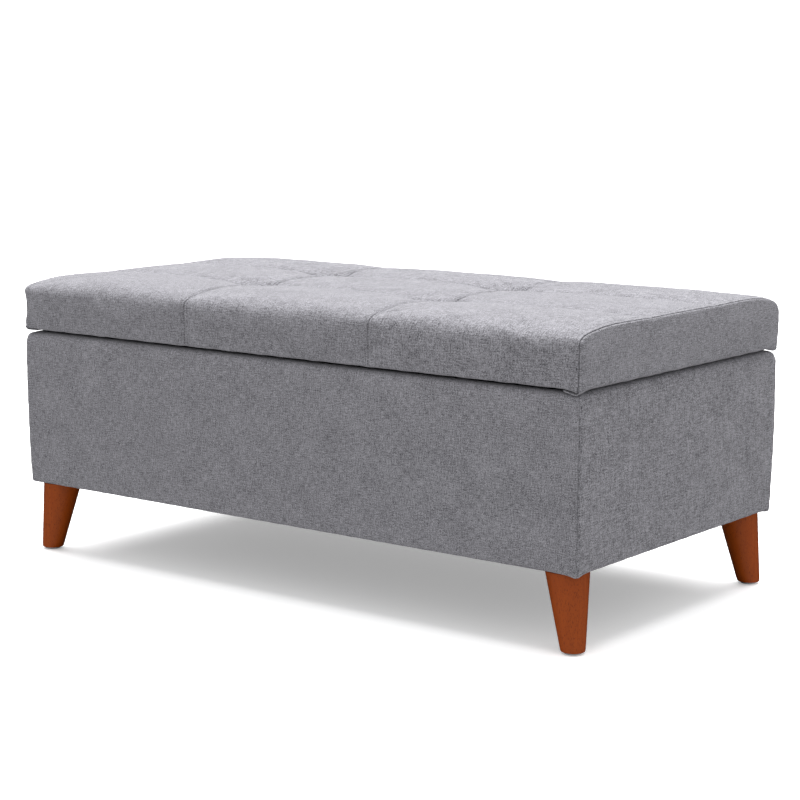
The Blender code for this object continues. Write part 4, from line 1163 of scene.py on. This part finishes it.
board_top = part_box("lid_board")[1].z + 0.0003
deep = lid_skin - grid_normals(lid_skin) * 0.0020
pick = lid_line[:, 1] > board_top + 0.001
skin = deep[pick][:, 2:-2]
skin[:, :, 2] = np.maximum(skin[:, :, 2], board_top + 0.0004)
low_front, low_rear = skin[0].copy(), skin[-1].copy()
low_front[:, 2] = low_rear[:, 2] = board_top
block = np.concatenate([low_front[None], skin, low_rear[None]])
rows, columns = block.shape[:2]
faces = grid_faces(rows, columns)
last = (rows - 1) * columns
faces += [[last + j, last + j + 1, j + 1, j] for j in range(columns - 1)]
faces.append([i * columns for i in range(rows)])
faces.append([i * columns + columns - 1 for i in range(rows)][::-1])
foam = mesh_object("shaped_foam_block", block.reshape(-1, 3), faces, foam_cream)
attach(foam, "lid")
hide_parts("seat_foam")

# The board's lower edges are rounded over, so that they don't cut the cover.
low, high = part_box("lid_board")
BOARD_IN = 0.0012
BOARD_EASE = 0.0055
BOARD_CORNER = 0.009
rings = []
for turn in np.linspace(0, 90, 7):
    inset = BOARD_IN + BOARD_EASE * (1 - math.sin(math.radians(turn)))
    rings.append((inset, low.z + 0.0002 + BOARD_EASE * (1 - math.cos(math.radians(turn)))))
rings.append((BOARD_IN, high.z - 0.001))
rings.append((BOARD_IN + 0.001, high.z))
outline = []
for inset, level in rings:
    x, y = high.x - inset, high.y - inset
    ring = []
    for cx, cy, start in ((x, y, 0), (-x, y, 90), (-x, -y, 180), (x, -y, 270)):
        corner = (cx - math.copysign(BOARD_CORNER, cx), cy - math.copysign(BOARD_CORNER, cy))
        ring += [(px, py, level) for px, py in arc(corner, BOARD_CORNER, start, start + 90, 4)]
    outline.append(ring)
sides = len(ring)
faces = grid_faces(len(rings), sides, True)
faces += [list(range(sides))[::-1], [(len(rings) - 1) * sides + j for j in range(sides)]]
board = mesh_object("lid_board_eased", np.array(outline).reshape(-1, 3), faces, birch, False)
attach(board, "lid")
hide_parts("lid_board")

cloth_x, cloth_y = LID_X - 0.014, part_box("hinge_leaf_lid")[0].y - 0.002
cloth_level = LID_LOW + 0.0002
board_cloth = stretched_cloth("board_dust_cloth", cloth_x, cloth_y, cloth_level, 0.0010, [], 54)
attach(board_cloth, "lid")
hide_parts("lid_underside_cloth")
edge_staples("board_cloth_staples", cloth_x, cloth_y, cloth_level, [], "lid")

twine, tree = blank_material("waxed_twine_natural")
lay = node(
    tree, "ShaderNodeTexNoise",
    {"Vector": object_point(tree, (1400, 1400, 500)), "Scale": 1.0, "Detail": 2.0},
)
tone = node(
    tree, "ShaderNodeMix", {0: lay.outputs[0], 6: srgb("#8E8676"), 7: srgb("#BBB4A2")}, data_type="RGBA",
)
shade(tree, {"Base Color": tone.outputs[2], "Roughness": 0.55, "IOR": 1.45})
TWINE_TURN = 0.006
TWINE_RADIUS = 0.0005
corner_signs = {"front_left": (-1, -1), "front_right": (1, -1), "rear_right": (1, 1), "rear_left": (-1, 1)}
for corner, (sx, sy) in corner_signs.items():
    k = int(np.argmin(np.abs(lid_across - sx * SEAM_X)))
    m = int(np.argmin(np.abs(lid_stops - cushion_middle - sy * SEAM_Y)))
    dimple = lid_skin[m, k]
    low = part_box(f"tuft_tie_{corner}")[0].z
    points, faces, sides = [], [], 7
    for strand in (0, 1):
        first = len(points)
        heights = np.linspace(low, dimple[2] - 0.0002, 60)
        for z in heights:
            turn = 2 * math.pi * (z - low) / TWINE_TURN + math.pi * strand
            centre = (sx * SEAM_X + 0.00045 * math.cos(turn), sy * SEAM_Y + 0.00045 * math.sin(turn))
            points += level_ring(*centre, z, TWINE_RADIUS, sides)
        faces += [[first + v for v in face] for face in grid_faces(len(heights), sides, True)]
        faces.append([first + j for j in range(sides)][::-1])
        faces.append([first + (len(heights) - 1) * sides + j for j in range(sides)])
    tie = mesh_object(f"twine_tie_{corner}", points, faces, twine)
    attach(tie, "lid")
    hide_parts(f"tuft_tie_{corner}")
    span = np.array([[-0.004, 0, 0.0003], [0.004, 0, 0.0003]])
    knot = stitches(
        f"tuft_knot_{corner}", dimple + span, [[0, 0, 1]] * 2, thread_grey, 0.0058, 0.0005, 0.0007,
    )
    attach(knot, "lid")


# Hinge
# A steel piano hinge, zinc plated: its lower leaf is screwed down on the back of the rim and its
# upper leaf under the lid, and the two leaves' knuckles turn on one long pin.
def screws(name, places, radius, proud, body):
    """Countersunk cross-head screws, just proud of the steel that they hold."""
    points, faces, sides, slot_width = [], [], 32, 0.13
    rings = (
        (1.0, -0.6), (1.0, 0.2), (0.94, 0.75), (0.85, 0.95), (0.7, 1.0), (0.56, 1.0), (0.5, 1.0),
        (0.42, 1.0),
    )
    rings += ((0.3, 1.0), (0.18, 1.0), (0.06, 1.0))
    for middle, up in places:
        up = Vector(up)
        first = len(points)
        aside = up.orthogonal().normalized()
        other = up.cross(aside)
        for share, rise in rings:
            for j in range(sides):
                turn = 2 * math.pi * j / sides
                a, b = share * math.cos(turn), share * math.sin(turn)
                sunk = share <= 0.5 and (abs(a) < slot_width or abs(b) < slot_width)
                level = proud * rise - (0.0012 * (1 - share) if sunk else 0)
                points.append(Vector(middle) + (aside * a + other * b) * radius + up * level)
        faces += [[first + v for v in face] for face in grid_faces(len(rings), sides, True)]
        faces.append([first + (len(rings) - 1) * sides + j for j in range(sides)])
    made = mesh_object(name, points, faces, zinc, smooth=False)
    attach(made, body)
    return made


dress(["hinge_leaf_base", "hinge_leaf_lid", "hinge_pin"], zinc)
leaf_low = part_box("hinge_leaf_base")[0]
upper_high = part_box("hinge_leaf_lid")[1]
LEAF = 0.0015
screw_y = leaf_low.y + 0.0062
lower_top = leaf_low.z + LEAF
upper_bottom = upper_high.z - LEAF
lower_places = [((x, screw_y, lower_top - 0.0001), (0, 0, 1)) for x in np.linspace(-0.43, 0.43, 11)]
upper_places = [((x, screw_y, upper_bottom + 0.0001), (0, 0, -1)) for x in np.linspace(-0.387, 0.387, 10)]
screws("hinge_screws_base", lower_places, 0.0030, 0.00022, "base")
screws("hinge_screws_lid", upper_places, 0.0030, 0.00022, "lid")


# Lid stays
# A slotted steel arm at each end holds the lid open. It turns on a rivet in a bracket under the
# lid, and slides on a headed stud in a plate screwed to the end wall. All are zinc plated.
for side, sx in (("left", -1), ("right", 1)):
    dress([f"stay_arm_{side}", f"stay_bracket_{side}", f"stay_wall_plate_{side}"], zinc)
    low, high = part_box(f"stay_bracket_{side}")
    flange_x = sx * (min(abs(low.x), abs(high.x)) + 0.0085)
    flange_z = high.z - 0.0015
    places = [((flange_x, y, flange_z), (0, 0, -1)) for y in (low.y + 0.008, high.y - 0.008)]
    screws(f"stay_bracket_screws_{side}", places, 0.0036, 0.0007, "lid")
    low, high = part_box(f"stay_wall_plate_{side}")
    face_x = sx * (max(abs(low.x), abs(high.x)) - 0.0015)
    middle_y = (low.y + high.y) / 2
    places = [((face_x, middle_y, low.z + 0.009), (-sx, 0, 0))]
    screws(f"stay_plate_screw_{side}", places, 0.0036, 0.0004, "base")
